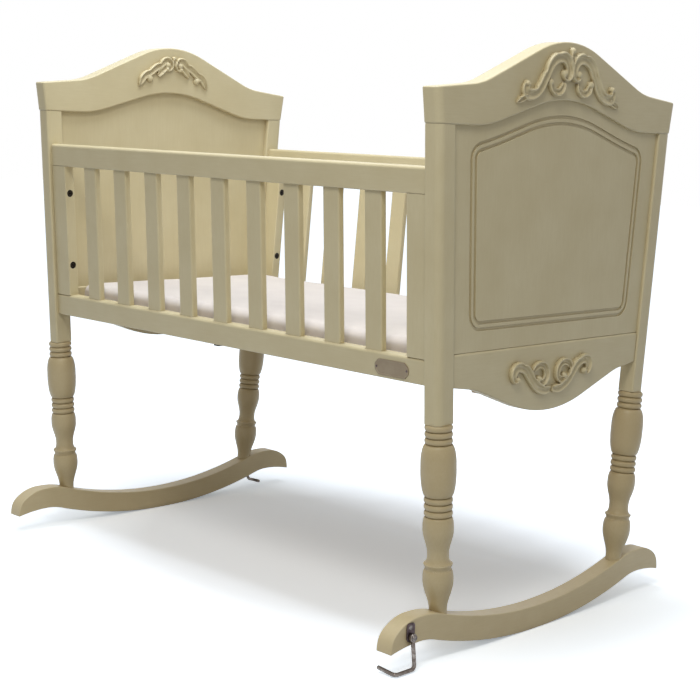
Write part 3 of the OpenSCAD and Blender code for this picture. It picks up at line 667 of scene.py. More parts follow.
def dress(
    bm: BMesh, name: str, finish: Finish, body: str = "root",
    replaces: Sequence[str] = (), crease: float = 32.0, outward: bool = True,
) -> Object:
    """Turns a finished bmesh into a dressed piece that rides on a body.

    Args:
        bm: The mesh, in place. It is freed.
        name: Name of the piece.
        finish: Its finish.
        body: The CAD body it rides on.
        replaces: The CAD nodes it stands for.
        crease: Angle in degrees from which an edge stays sharp.
        outward: Whether its normals are worked out anew.

    Returns:
        The piece.
    """
    if outward:
        bmesh.ops.recalc_face_normals(bm, faces=bm.faces)
    limit = math.radians(crease)
    for face in bm.faces:
        face.smooth = True
    for edge in bm.edges:
        edge.smooth = edge.is_manifold and edge.calc_face_angle(0.0) < limit
    return enrol(settle(bm, name), name, finish, body, replaces)


def enrol(
    mesh: Mesh, name: str, finish: Finish, body: str = "root",
    replaces: Sequence[str] = (),
) -> Object:
    """Makes a piece of a mesh, dresses it, puts it on its body and hides the CAD nodes it stands for.

    Args:
        mesh: The mesh, in place.
        name: Name of the piece.
        finish: Its finish.
        body: The CAD body it rides on.
        replaces: The CAD nodes it stands for.

    Returns:
        The piece.
    """
    mesh.materials.clear()
    mesh.materials.append(material_of(finish))
    piece = link(name, mesh)
    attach(piece, body)
    if replaces:
        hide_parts(*replaces)
    LOG.info("%s: %d faces on %s", name, len(mesh.polygons), body)
    return piece


def evaluated(piece: Object) -> Mesh:
    """A mesh of its own of what an object's modifiers give."""
    graph = bpy.context.evaluated_depsgraph_get()
    return bpy.data.meshes.new_from_object(piece.evaluated_get(graph), depsgraph=graph)


def modify(piece: Object, title: str, kind: str, **settings: object) -> None:
    """Gives an object a modifier.

    Args:
        piece: The object.
        title: The modifier's name.
        kind: Its type.
        settings: Its properties.
    """
    modifier = piece.modifiers.new(title, kind)
    for key, value in settings.items():
        setattr(modifier, key, value)


def level_faces(piece: Object) -> None:
    """Keeps the shading of a piece's large faces flat next to its rounded arrises."""
    modify(piece, "flat faces", "WEIGHTED_NORMAL", mode="FACE_AREA", weight=80, keep_sharp=True)


# ---- Boards, rails and rockers ----


@dataclass(frozen=True)
class Board:
    """How one CAD solid of painted wood is softened: what is rounded, and which way it was brushed."""

    node: str
    grain: Grain
    radius: float = 2.0 * MM
    least_edge: float = 1.0 * MM
    least_face: float = 40 * MM * MM
    rounds: bool = True


@dataclass
class Joinery:
    """The painted boards of the cradle, as softened copies of the CAD solids."""

    segments: int = 3
    sharp_from: float = 30.0
    slats: int = 9

    def boards(self) -> Iterator[Board]:
        """Lists the boards.

        Returns:
            Each board with its own rounding.
        """
        for end in ENDS:
            yield Board(f"{end}_crest", Grain.ACROSS, 2.6 * MM)
            yield Board(f"{end}_panel", Grain.UPRIGHT, 1.0 * MM, 0.6 * MM, 4 * MM * MM)
            yield Board(f"{end}_apron", Grain.ACROSS, 3.4 * MM)
            for side in SIDES:
                yield Board(f"post_{end}_{side}", Grain.UPRIGHT, rounds=False)
                yield Board(f"stile_{end}_{side}", Grain.UPRIGHT, 1.6 * MM, 150 * MM)
        for side in SIDES:
            for rail in ("top", "bottom"):
                yield Board(f"{side}_{rail}_rail", Grain.LENGTHWISE, 1.6 * MM, 300 * MM)
            for number in range(1, self.slats + 1):
                yield Board(f"slat_{side}_{number}", Grain.UPRIGHT, rounds=False)

    def build(self) -> None:
        """Builds every board."""
        for board in self.boards():
            self.soften(board)

    def soften(self, board: Board) -> None:
        """Copies a CAD solid and rounds its arrises.

        Args:
            board: What to soften, and how.
        """
        bm = merged(board.node)
        if board.rounds:
            arrises = [e for e in bm.edges if self.is_arris(e, board)]
            round_off(bm, arrises, board.radius, self.segments, clamp=True)
        name = f"{board.node}_painted"
        finish = PAINT[board.grain]
        level_faces(dress(bm, name, finish, replaces=[board.node], outward=False))

    def is_arris(self, edge: BMEdge, board: Board) -> bool:
        """Whether an edge of a solid is an arris that the maker's sandpaper met.

        Args:
            edge: The edge.
            board: The board that it belongs to.

        Returns:
            True if it is to be rounded.
        """
        if not edge.is_manifold or edge.calc_length() < board.least_edge:
            return False
        if edge.calc_face_angle(0.0) < math.radians(self.sharp_from):
            return False
        return min(f.calc_area() for f in edge.link_faces) > board.least_face


@dataclass
class Rockers:
    """The two curved rockers, drawn as arcs in millimetres from the middle to the tip."""

    low: tuple = ((827, 17), (110, -17), (260, -14))
    high: tuple = ((790, 17.2), (150, -17.2), (0, 10), (75, -38), (30, -45), (0, 10.5))
    half_flat: float = 8.0
    depth: float = 38.0
    thickness: float = 30.0
    step: float = 7.0
    radius: float = 2.8
    seat: float = 42.14
    seat_d: float = 10.4
    bore: float = 40.0

    def outline(self) -> list[Spot]:
        """The whole outline, anticlockwise as seen from outside.

        Returns:
            Pairs of distance from the middle and height.
        """
        low = [p for p, _, _ in trace((self.half_flat, 0), 0, self.low, self.step)]
        high = [p for p, _, _ in trace((0, self.depth), 0, self.high, self.step)]
        half = [*low, *reversed(high)]
        return [(p.x, p.y) for p in half] + [(-p.x, p.y) for p in reversed(half[:-1])]

    def seats(self) -> Object:
        """The bores from below for the screws that hold the legs.

        Returns:
            The cutter for the head board's rocker.
        """
        bm = bmesh.new()
        middle = (self.seat - self.bore / 2) * MM
        radius = self.seat_d / 2 * MM
        for side in SIDES:
            bmesh.ops.create_cone(
                bm, cap_ends=True, segments=32, radius1=radius, radius2=radius, depth=self.bore * MM,
                matrix=at_corner("head", side) @ LEANING @ Matrix.Translation((POST_X, 0, middle)),
            )
        bmesh.ops.recalc_face_normals(bm, faces=bm.faces)
        return link("seats", settle(bm, "seats"))

    def build(self) -> None:
        """Saws, rounds and bores both rockers."""
        cutter = self.seats()
        inside = OUTER_X - self.thickness * MM
        for end in ENDS:
            bm = bmesh.new()
            face = bm.faces.new([bm.verts.new((inside, y * MM, z * MM)) for y, z in self.outline()])
            grown = bmesh.ops.extrude_face_region(bm, geom=[face])["geom"]
            moved = [g for g in grown if isinstance(g, BMVert)]
            bmesh.ops.translate(bm, vec=(self.thickness * MM, 0, 0), verts=moved)
            bmesh.ops.recalc_face_normals(bm, faces=bm.faces)
            arrises = [e for e in bm.edges if e.calc_face_angle(0.0) > math.radians(40)]
            round_off(bm, arrises, self.radius * MM, 3, clamp=True)
            sawn = link("sawn", settle(bm, "sawn"))
            modify(sawn, "seats", "BOOLEAN", operation="DIFFERENCE", object=cutter)
            bm = bmesh.new()
            bm.from_mesh(evaluated(sawn))
            bpy.data.objects.remove(sawn)
            bmesh.ops.transform(bm, matrix=at_end(end), verts=bm.verts)
            node = f"{end}_rocker"
            level_faces(dress(bm, f"{node}_sawn", ROCKER_PAINT, replaces=[node]))
        bpy.data.objects.remove(cutter)


# ---- Turned legs ----


@dataclass
class TurnedLegs:
    """The four turned legs, as one outline in millimetres along the lean."""

    top: float = 361.8
    waist: float = 19.5
    bead: float = 21.5
    bulge: float = 27.0
    base: float = 20.3
    low_swell: float = 23.6
    neck: float = 16.5
    ring: float = 22.2
    under: float = 19.7
    vase: float = 23.4
    foot: float = 13.5
    foot_end: float = 66.0

    def swell(self, a: Spot, b: Spot, steps: int = 12) -> list[Spot]:
        """A smooth swelling from one radius and height to another, without its last point."""
        shares = [(i / steps, (1 - math.cos(math.pi * i / steps)) / 2) for i in range(steps)]
        return [(a[0] + (b[0] - a[0]) * r, a[1] + (b[1] - a[1]) * h) for h, r in shares]

    def shoulder(self, a: Spot, b: Spot, steps: int = 10) -> list[Spot]:
        """The same as a full shoulder, steep where it starts and level where it ends."""
        turns = [math.pi / 2 * i / steps for i in range(steps)]
        return [(a[0] + (b[0] - a[0]) * math.sin(t), a[1] + (b[1] - a[1]) * (1 - math.cos(t))) for t in turns]

    def flare(self, a: Spot, b: Spot, steps: int = 10) -> list[Spot]:
        """The same the other way round, level where it starts and steep where it ends."""
        return [a, *reversed(self.shoulder(b, a, steps)[1:])]

    def beads(self, top: float, pitch: float, count: int, radius: float) -> list[Spot]:
        """Round beads with a narrow groove between them.

        Args:
            top: Height at which they start.
            pitch: Height of one bead.
            count: How many there are.
            radius: Their outer radius.

        Returns:
            Their points, downwards.
        """
        angles = [math.radians(a) for a in range(8, 180, 20)]
        deep = pitch * 0.4
        return [
            (radius - deep * (1 - math.sin(a)), top - pitch * (k + (1 - math.cos(a)) / 2))
            for k in range(count) for a in angles
        ]

    def outline(self) -> list[Spot]:
        """The outline from the post down into the rocker, in millimetres.

        Returns:
            Pairs of radius and height.
        """
        top = self.top
        return [
            (0.0, top - 0.2), (self.waist - 1.2, top - 0.2),
            *self.beads(top - 0.4, 9.8, 3, self.bead - 0.3),
            *self.shoulder((self.waist - 0.6, top - 29.9), (self.bulge, top - 60)),
            *self.flare((self.bulge, top - 69), (self.base - 0.8, top - 109.4), 14),
            *self.beads(top - 109.6, 10.2, 3, self.bead + 0.3),
            *self.shoulder((self.base - 0.8, top - 140.4), (self.low_swell, top - 156), 8),
            *self.swell((self.low_swell, top - 160), (self.neck, top - 198)),
            *self.flare((self.neck, top - 201), (self.ring - 0.4, top - 212.6), 8),
            (self.ring - 0.3, top - 212.8), (self.ring, top - 214), (self.ring - 0.5, top - 215.6),
            (self.ring - 1.6, top - 217.2), (self.under + 0.2, top - 219.6), (self.under, top - 221.6),
            *self.shoulder((self.under + 0.1, top - 222), (self.vase, top - 236), 9),
            *self.swell((self.vase, top - 239), (self.foot, top - 287), 14),
            (self.foot, top - 288), (self.foot, self.foot_end), (0.0, self.foot_end),
        ]

    def build(self) -> None:
        """Turns and places the four legs."""
        points = [(r * MM, s * MM) for r, s in self.outline()]
        for end in ENDS:
            for side in SIDES:
                bm = bmesh.new()
                turned(bm, points, at_corner(end, side) @ LEANING @ Matrix.Translation((POST_X, 0, 0)), 64)
                node = f"leg_{end}_{side}"
                dress(bm, f"{node}_turned", LEG_PAINT, replaces=[node], crease=50)


# ---- Carvings ----


@dataclass(frozen=True)
class Stroke:
    """One carved ribbon in millimetres: its start, heading, arcs of [radius, turn], and its section."""

    start: Spot
    heading: float
    arcs: tuple[Spot, ...]
    width: float
    rim: int = 1
    head: float = 0.45
    tail: float = 0.6
    notch: float = 0.0
    eye: float = 0.0
    first_eye: float = 0.0
    height: float = 6.0

    def stations(self, step: float = 1.6) -> list[tuple[Vector, float, float]]:
        """Points along the ribbon, each with its heading in radians and its distance from the start."""
        return trace(self.start, self.heading, self.arcs, step)


# A ribbon's section as [share of the half width, share of the height], from its rim across its hollow.
SECTION = (
    (-1.0, -0.2), (-1.0, 0.35), (-0.97, 0.75), (-0.86, 0.97), (-0.7, 1.0), (-0.54, 0.84), (-0.38, 0.5),
    (-0.12, 0.34), (0.2, 0.38), (0.5, 0.56), (0.74, 0.74), (0.9, 0.7), (1.0, 0.42), (1.0, -0.2),
)


@dataclass
class Carving:
    """A carved scroll: its mirrored strokes, its middle ones, and where its drawing lies."""

    name: str
    node: str
    pairs: tuple[Stroke, ...]
    middles: tuple[Stroke, ...]
    face_x: float
    base_z: float
    facing: int = 1
    drop: float = 0.0
    spread: float = 1.0
    voxel: float = 0.8 * MM

    def drawing(self) -> Matrix:
        """The matrix that lays the drawing, in millimetres, on the head board's face."""
        axes = Matrix(((0, 0, self.facing, 0), (self.facing, 0, 0, 0), (0, 1, 0, 0), (0, 0, 0, 1)))
        return Matrix.Translation((self.face_x, 0, self.base_z)) @ axes @ Matrix.Scale(MM, 4)

    def ribbon(self, bm: BMesh, stroke: Stroke, place: Matrix) -> None:
        """Adds one ribbon, with its tapered ends, its notches and its eye.

        Args:
            bm: The mesh to add to.
            stroke: What to carve.
            place: The matrix that lays the drawing on the board.
        """
        stations = stroke.stations()
        total = stations[-1][2]
        ease = min(stroke.width * 1.1, total * 0.45)
        rings = []
        for point, heading, run in stations:
            low = min(1.0, run / ease)
            high = min(1.0, (total - run) / ease)
            start = stroke.head + (1 - stroke.head) * math.sin(low * math.pi / 2)
            end = stroke.tail + (1 - stroke.tail) * math.sin(high * math.pi / 2)
            half = stroke.width / 2 * start * end
            lift = stroke.height * (0.72 + 0.28 * min(start, end))
            cleft = 0.0
            if stroke.notch:
                phase = run % stroke.notch / stroke.notch
                cleft = 0.26 * math.exp(-((phase - 0.5) / 0.13) ** 2) * min(low, high)
            left = Vector((-math.sin(heading), math.cos(heading)))
            ring = []
            for across, up in SECTION:
                reach = -across * stroke.rim * half
                if across < -0.5:
                    reach *= 1 - cleft
                flat = point + left * reach
                ring.append(place @ Vector((flat.x, flat.y, up * lift)))
            rings.append(ring)
        loft(bm, rings)
        for (point, _, _), eye in ((stations[0], stroke.first_eye), (stations[-1], stroke.eye)):
            if eye:
                size = Matrix.Diagonal((eye, eye, stroke.height * 1.12, 1))
                spot = place @ Matrix.Translation((point.x, point.y, 0)) @ size
                bmesh.ops.create_uvsphere(bm, u_segments=20, v_segments=14, radius=1.0, matrix=spot)

    def build(self) -> None:
        """Carves both boards' scrolls, and makes each one skin."""
        for end in ENDS:
            bm = bmesh.new()
            place = at_end(end) @ self.drawing()
            lowered = place @ Matrix.Translation((0, -self.drop, 0)) @ Matrix.Scale(self.spread, 4)
            for stroke in self.pairs:
                self.ribbon(bm, stroke, lowered)
                self.ribbon(bm, stroke, lowered @ Matrix.Diagonal((-1, 1, 1, 1)))
            for stroke in self.middles:
                self.ribbon(bm, stroke, place)
            bmesh.ops.recalc_face_normals(bm, faces=bm.faces)
            block = link("block", settle(bm, "block"))
            modify(block, "one skin", "REMESH", mode="VOXEL", voxel_size=self.voxel, use_smooth_shade=True)
            modify(block, "eased", "SMOOTH", factor=0.5, iterations=2)
            mesh = evaluated(block)
            bpy.data.objects.remove(block)
            enrol(mesh, f"{end}_{self.name}", CARVED_PAINT, replaces=[self.node])


CREST_Z = 838.3 * MM
APRON_Z = 357 * MM


def carvings() -> list[Carving]:
    """The three carved scrolls of each end board.

    Returns:
        The carvings.
    """
    outer = Carving(
        "crest_outer_scroll", "crest_scrolls_outer",
        (
            Stroke((18, 43), -90, ((4.5, -90), (8, -90), (20, -90), (34, -58), (0, 30), (34, 58), (9, 140)),
                   17.5, head=0.5, tail=0.45, notch=38, eye=5.0, first_eye=6.2, height=8.2),
            Stroke((18, 30), -90, ((15, 150), (0, 8)), 11.5, rim=-1, eye=5.8, height=7.2),
            Stroke((101, 6), -8, ((60, -25),), 10, head=0.6, tail=0.15, height=6.4),
        ),
        (Stroke((0, 44), 90, ((0, 30),), 13, head=0.35, tail=0.7, eye=5.8, height=7.8),),
        496 * MM, CREST_Z, drop=5.0, spread=1.03,
    )
    apron = Carving(
        "apron_scroll", "apron_scrolls",
        (
            Stroke((4, 37), -8, ((50, 8), (50, 48), (0, 20), (32, -48), (12, -95), (8, -110)),
                   16.5, head=0.6, tail=0.45, notch=34, eye=5.6, height=8.0),
            Stroke((50, 67), 120, ((22, 60), (17, 85), (12, 90), (7, 90)),
                   12, rim=-1, head=0.35, eye=5.6, height=7.8),
        ),
        (),
        492 * MM, APRON_Z, drop=3.0,
    )
    inner = Carving(
        "crest_inner_scroll", "crest_scrolls_inner",
        (
            Stroke((17, 46), 180, ((8, -90), (8.5, -90), (12, -45), (0, 6), (12, 25), (0, 4), (30, -15),
                                   (0, 10), (24, 8), (0, 12), (26, -36), (0, 13)),
                   15, head=0.5, tail=0.15, notch=30, first_eye=5.0, height=7.6),
            Stroke((15, 53.5), -35, ((0, 12), (30, -12), (0, 14)),
                   14, rim=-1, head=0.5, tail=0.4, first_eye=7.4, height=6.8),
            Stroke((58.5, 26), -100, ((0, 1),), 9, rim=-1, first_eye=7.2, height=6.8),
        ),
        (Stroke((0, 52), 90, ((0, 15),), 9, head=0.5, tail=0.6, eye=4.2, height=7.0),),
        464 * MM, CREST_Z, facing=-1,
    )
    return [outer, apron, inner]


# ---- Mattress ----


@dataclass
class Mattress:
    """The flat mattress in its cotton cover."""

    length: float = 915 * MM
    width: float = 470 * MM
    corner: float = 14 * MM
    edge: float = 11 * MM
    swell: float = 4 * MM
    voxel: float = 7 * MM
    pressure: float = 4.0
    frames: int = 20
    cap: float = 9 * MM
    piping: float = 1.5 * MM
    squareness: float = 0.22

    def block(self) -> Object:
        """The foam block, smaller than the mattress by what the cover swells.

        Returns:
            The object to simulate.
        """
        low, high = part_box("mattress")
        size = high - low
        bm = bmesh.new()
        shape = Matrix.Translation((low + high) / 2) @ Matrix.Diagonal(
            (size.x - 2 * self.swell, size.y - 2 * self.swell, size.z - self.swell, 1)
        )
        bmesh.ops.create_cube(bm, size=1.0, matrix=shape)
        upright = [e for e in bm.edges if abs(e.verts[0].co.z - e.verts[1].co.z) > 0.02]
        round_off(bm, upright, self.corner, 6)
        level = [e for e in bm.edges if e.is_manifold and e.calc_face_angle(0.0) > 1.0]
        round_off(bm, level, self.edge, 4)
        block = link("foam", settle(bm, "foam"))
        modify(block, "skin", "REMESH", mode="VOXEL", voxel_size=self.voxel)
        block.data = evaluated(block)
        block.modifiers.clear()
        return block

    def puff(self, block: Object) -> None:
        """Lets air pressure fill the cover, and caps how far any point moves.

        Args:
            block: The foam block, whose mesh is changed.
        """
        scene = bpy.context.scene
        rest = [v.co.copy() for v in block.data.vertices]
        cloth = block.modifiers.new("cover", "CLOTH")
        cloth.settings.use_pressure = True
        cloth.settings.uniform_pressure_force = self.pressure
        cloth.settings.effector_weights.gravity = 0
        cloth.settings.quality = 4
        for number in range(1, self.frames + 1):
            scene.frame_set(number)
        filled = evaluated(block)
        block.modifiers.clear()
        for vertex, start in zip(filled.vertices, rest):
            move = vertex.co - start
            if move.length > self.cap:
                vertex.co = start + move.normalized() * self.cap
        block.data = filled
        scene.frame_set(1)

    def fit(self, mesh: Mesh) -> None:
        """Keeps the cover inside the space that the CAD solid holds, flat where it rests.

        Args:
            mesh: The cover's mesh.
        """
        low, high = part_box("mattress")
        bm = bmesh.new()
        bm.from_mesh(mesh)
        bmesh.ops.smooth_vert(
            bm, verts=bm.verts, factor=0.5, use_axis_x=True, use_axis_y=True, use_axis_z=True
        )
        for vertex in bm.verts:
            vertex.co = Vector(max(a, min(b, c)) for a, c, b in zip(low, vertex.co, high))
        bm.to_mesh(mesh)
        bm.free()

    def seam(self, cover: Mesh, z: float) -> Mesh:
        """A piped seam that runs round the cover at one height.

        Args:
            cover: The cover's mesh.
            z: Height of the seam.

        Returns:
            The piping's mesh.
        """
        skin = BVHTree.FromPolygons(
            [v.co for v in cover.vertices], [tuple(p.vertices) for p in cover.polygons]
        )
        count = 360
        path = []
        for number in range(count):
            angle = 2 * math.pi * number / count
            flat = (math.cos(angle), math.sin(angle))
            across = [math.copysign(abs(f) ** self.squareness, f) for f in flat]
            ray = Vector((across[0] * self.length, across[1] * self.width, 0))
            start = Vector((0, 0, z)) + ray
            hit = skin.ray_cast(start, -ray.normalized())[0]
            path.append(hit if hit is not None else start)
        bm = bmesh.new()
        turns = [2 * math.pi * k / 8 for k in range(8)]
        up = Vector((0, 0, 1))
        rings = []
        for number, point in enumerate(path):
            along = (path[(number + 1) % count] - path[number - 1]).normalized()
            out = along.cross(up).normalized()
            rings.append([point + self.piping * (math.cos(a) * out + math.sin(a) * up) for a in turns])
        loft(bm, rings, closed=True)
        bmesh.ops.recalc_face_normals(bm, faces=bm.faces)
        for face in bm.faces:
            face.smooth = True
        return settle(bm, "piping")

    def build(self) -> None:
        """Builds the mattress and its piped seam."""
        block = self.block()
        self.puff(block)
        mesh = block.data
        self.fit(mesh)
        for polygon in mesh.polygons:
            polygon.use_smooth = True
        bpy.data.objects.remove(block)
        cover = enrol(mesh, "mattress_cover", COTTON, replaces=["mattress"])
        modify(cover, "fine", "SUBSURF", levels=1, render_levels=1)
        low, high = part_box("mattress")
        enrol(self.seam(mesh, (low.z + high.z) / 2), "mattress_piping", COTTON)


# ---- Metalwork ----


def bent_path(points: Sequence[Vector], radius: float, steps: int = 8) -> list[Vector]:
    """Rounds the corners of a path.

    Args:
        points: The path's corners, with its ends.
        radius: Radius of each bend.
        steps: Parts of each bend.

    Returns:
        The rounded path.
    """
    path = [points[0]]
    for before, here, after in zip(points, points[1:], points[2:]):
        u, v = (here - before).normalized(), (after - here).normalized()
        turn = u.angle(v)
        side = (v - u * math.cos(turn)).normalized()
        centre = here - u * radius * math.tan(turn / 2) + side * radius
        for k in range(steps + 1):
            a = turn * k / steps
            path.append(centre + radius * (u * math.sin(a) - side * math.cos(a)))
    path.append(points[-1])
    return path


def tube(bm: BMesh, path: Sequence[Vector], radius: float, sides: int = 20) -> None:
    """Sweeps a round bar along a path, with slightly eased ends.

    Args:
        bm: The mesh to add to.
        path: The bar's middle line.
        radius: Its radius.
        sides: Facets around.
    """
    across = (path[1] - path[0]).orthogonal().normalized()
    rings = []
    last = len(path) - 1
    ease = radius * 0.12
    for number, point in enumerate(path):
        along = (path[min(number + 1, last)] - path[max(number - 1, 0)]).normalized()
        across = (across - along * across.dot(along)).normalized()
        up = along.cross(across)
        turns = [2 * math.pi * k / sides for k in range(sides)]
        circle = [across * math.cos(t) + up * math.sin(t) for t in turns]
        if number == 0:
            rings.append([point + (radius - ease) * c for c in circle])
            rings.append([point + along * ease + radius * c for c in circle])
        elif number == last:
            rings.append([point - along * ease + radius * c for c in circle])
            rings.append([point + (radius - ease) * c for c in circle])
        else:
            rings.append([point + radius * c for c in circle])
    loft(bm, rings)


@dataclass
class Stops:
    """The two bent steel rods, their plates and their screws."""

    rod_x: float = 500.5 * MM
    pivot_y: float = 307 * MM
    pivot_z: float = 54 * MM
    rod_r: float = 3.2 * MM
    arm: float = 49.8 * MM
    arm_lean: float = math.radians(8.1)
    foot: float = 42 * MM
    toe: float = 34 * MM
    toe_rise: float = 3 * MM
    bend: float = 6 * MM
    eye_r: float = 6.5 * MM
    hole_r: float = 2.6 * MM
    swings: Spot = (0.0, math.radians(84))
    pivot_head: Spot = (5 * MM, 2.6 * MM)
    pivot_seat: tuple = (0, 0, 9.0 * MM)
    fixing_head: Spot = (3.6 * MM, 0.9 * MM)
    fixing_seat: tuple = (-1.5 * MM, 14.5 * MM, 1.9 * MM)
    shank_r: float = 2.45 * MM
    shank_ends: Spot = (-19 * MM, 9.1 * MM)
    plate_round: float = 0.45 * MM
    plate_edge: float = 0.6 * MM

    def eye(self, bm: BMesh, place: Matrix) -> None:
        """Adds the rod's eye, a rounded ring about the pivot.

        Args:
            bm: The mesh to add to.
            place: The pivot's place, with its X along the screw.
        """
        r, half, hole = self.eye_r, self.rod_r, self.hole_r
        ease = 0.8 * MM
        outline = [
            (hole, -half), (r - ease, -half), (r - ease * 0.3, -half + ease * 0.3), (r, -half + ease),
            (r, half - ease), (r - ease * 0.3, half - ease * 0.3), (r - ease, half), (hole, half),
            (hole, -half),
        ]
        turned(bm, outline, place @ Matrix.Rotation(math.pi / 2, 4, "Y"), 32)

    def rod(self, end: str, swing: float) -> None:
        """Builds one rod.

        Args:
            end: The board it belongs to.
            swing: How far it is swung inwards.
        """
        low = self.arm * Vector((0, math.sin(self.arm_lean), -math.cos(self.arm_lean)))
        far = low - Vector((0, self.foot, 0))
        tip = far + Vector((-self.toe, 0, self.toe_rise))
        start = low.normalized() * self.eye_r * 0.6
        path = bent_path([start, low, far, tip], self.bend)
        place = at_end(end) @ Matrix.Translation((self.rod_x, -self.pivot_y, self.pivot_z))
        place = place @ Matrix.Rotation(swing, 4, "X")
        bm = bmesh.new()
        tube(bm, [place @ p for p in path], self.rod_r)
        self.eye(bm, place)
        node = f"{end}_stop_rod"
        dress(bm, f"{node}_bent", ROD_STEEL, f"{end}_stop", [node], crease=50)

    def screw(self, bm: BMesh, place: Matrix, radius: float, rise: float) -> None:
        """Adds a domed screw head with a slot.

        Args:
            bm: The mesh to add to.
            place: The seat's place, with its Z outwards.
            radius: Radius of the head.
            rise: Height of the head.
        """
        angles = [0.25 * k for k in range(1, 7)]
        dome = [(radius * math.sin(a), rise * (0.35 + 0.65 * math.cos(a))) for a in angles]
        head = bmesh.new()
        turned(head, [(0.0, rise), *dome, (radius, 0.0), (0.0, 0.0)], Matrix.Identity(4), 32)
        bmesh.ops.recalc_face_normals(head, faces=head.faces)
        half, deep = radius * 0.11, rise * 0.55
        across, up = (0, 1, 0), (0, 0, 1)
        for point, normal in (((0, -half, 0), across), ((0, half, 0), across), ((0, 0, deep), up)):
            whole = head.verts[:] + head.edges[:] + head.faces[:]
            bmesh.ops.bisect_plane(head, geom=whole, plane_co=point, plane_no=normal)
        for vertex in head.verts:
            if abs(vertex.co.y) < half * 0.999 and vertex.co.z > deep:
                vertex.co.z = deep
        bmesh.ops.transform(head, matrix=place, verts=head.verts)
        scrap = settle(head, "head")
        bm.from_mesh(scrap)
        bpy.data.meshes.remove(scrap)

    def screws(self) -> None:
        """Builds the pivot screws' and the fixing screws' heads."""
        bm = bmesh.new()
        for end in ENDS:
            pivot = at_end(end) @ Matrix.Translation((OUTER_X, -self.pivot_y, self.pivot_z))
            pivot = pivot @ Matrix.Rotation(math.pi / 2, 4, "X") @ Matrix.Rotation(math.pi / 2, 4, "Y")
            self.screw(bm, pivot @ Matrix.Translation(self.pivot_seat), *self.pivot_head)
            low, high = self.shank_ends
            turned(bm, [(0.0, low), (self.shank_r, low), (self.shank_r, high), (0.0, high)], pivot, 24)
            self.screw(bm, pivot @ Matrix.Translation(self.fixing_seat), *self.fixing_head)
        dress(bm, "stop_screws_slotted", OLD_ZINC, replaces=["stop_screws"], crease=40)

    def plates(self) -> None:
        """Softens the two plates."""
        bm = merged("stop_plates")
        rim = [
            e for e in bm.edges
            if e.is_manifold and e.calc_face_angle(0.0) > 1.0 and e.calc_length() > self.plate_edge
        ]
        round_off(bm, rim, self.plate_round, 2, clamp=True)
        dress(bm, "stop_plates_eased", DARK_STEEL, replaces=["stop_plates"], outward=False)

    def build(self) -> None:
        """Builds the rods, the plates and the screws."""
        for end, swing in zip(ENDS, self.swings):
            self.rod(end, swing)
        self.plates()
        self.screws()


@dataclass
class Nameplate:
    """The bare plate on the front bottom rail, and its two nails."""

    centre_x: float = 396 * MM
    along: float = 434.15 * MM
    face: float = 10.5 * MM
    length: float = 68 * MM
    height: float = 24.5 * MM
    clip: float = 7.5 * MM
    corner: float = 1.6 * MM
    thickness: float = 1.2 * MM
    rim: tuple = ((0.35, 0.0), (1.5, 0.0), (0.35, -0.35))
    nail: tuple = (
        (0.0, 0.85), (0.7, 0.75), (1.25, 0.5), (1.6, 0.15), (1.7, -0.2), (0.8, -0.2), (0.8, -9.0), (0.0, -9.0)
    )
    nail_inset: float = 3.5 * MM

    def build(self) -> None:
        """Builds the plate with its sunk field, and its nails."""
        place = LEANING @ Matrix.Translation((self.centre_x, -self.face, self.along))
        place = place @ Matrix.Rotation(math.pi / 2, 4, "X")
        bm = bmesh.new()
        bmesh.ops.create_grid(bm, x_segments=1, y_segments=1, size=0.5)
        bmesh.ops.scale(bm, vec=(self.length, self.height, 1), verts=bm.verts)
        round_off(bm, bm.verts[:], self.clip, 1, "VERTICES")
        round_off(bm, bm.verts[:], self.corner, 4, "VERTICES")
        grown = bmesh.ops.extrude_face_region(bm, geom=bm.faces[:])["geom"]
        top = [g for g in grown if isinstance(g, BMFace)]
        raised = [g for g in grown if isinstance(g, BMVert)]
        bmesh.ops.translate(bm, vec=(0, 0, self.thickness), verts=raised)
        for thickness, depth in self.rim:
            bmesh.ops.inset_region(bm, faces=top, thickness=thickness * MM, depth=depth * MM)
        bmesh.ops.transform(bm, matrix=place, verts=bm.verts)
        dress(bm, "nameplate_rimmed", BRONZE, replaces=["nameplate"], crease=20)
        bm = bmesh.new()
        for way in (-1, 1):
            spot = place @ Matrix.Translation((way * (self.length / 2 - self.nail_inset), 0, self.thickness))
            turned(bm, [(r * MM, z * MM) for r, z in self.nail], spot, 20)
        dress(bm, "nameplate_nails_domed", DARK_STEEL, replaces=["nameplate_nails"], crease=60)


@dataclass
class KeptSolids:
    """The CAD solids that keep their own shape and get a finish."""

    finishes: dict[str, Finish] = field(default_factory=lambda: {
        "mattress_board": LONG_WOOD,
        "board_cleats": CROSS_WOOD,
        "frame_dowels": LONG_WOOD,
        "board_brackets": BLACK_STEEL,
        "side_bolts": BLACK_STEEL,
        "board_screws": ZINC,
        "threaded_inserts": ZINC,
        "rocker_screws": ZINC,
    })

    def build(self) -> None:
        """Dresses each solid."""
        for node, finish in self.finishes.items():
            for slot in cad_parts[node].material_slots:
                slot.material = material_of(finish)
            LOG.info("%s keeps its shape as %s", node, finish.title)


# ---- Studio ----


@dataclass(frozen=True)
class Lamp:
    """A soft square lamp: where it hangs, what it points at, its side, its watts and its colour."""

    name: str
    place: tuple
    aim: tuple
    size: float
    power: float
    tint: tuple

    def build(self) -> None:
        """Hangs the lamp."""
        data = bpy.data.lights.new(self.name, "AREA")
        data.shape = "SQUARE"
        data.size = self.size
        data.energy = self.power
        data.color = self.tint
        lamp = link(self.name, data)
        lamp.location = self.place
        lamp.rotation_euler = (Vector(self.aim) - Vector(self.place)).to_track_quat("-Z", "Y").to_euler()


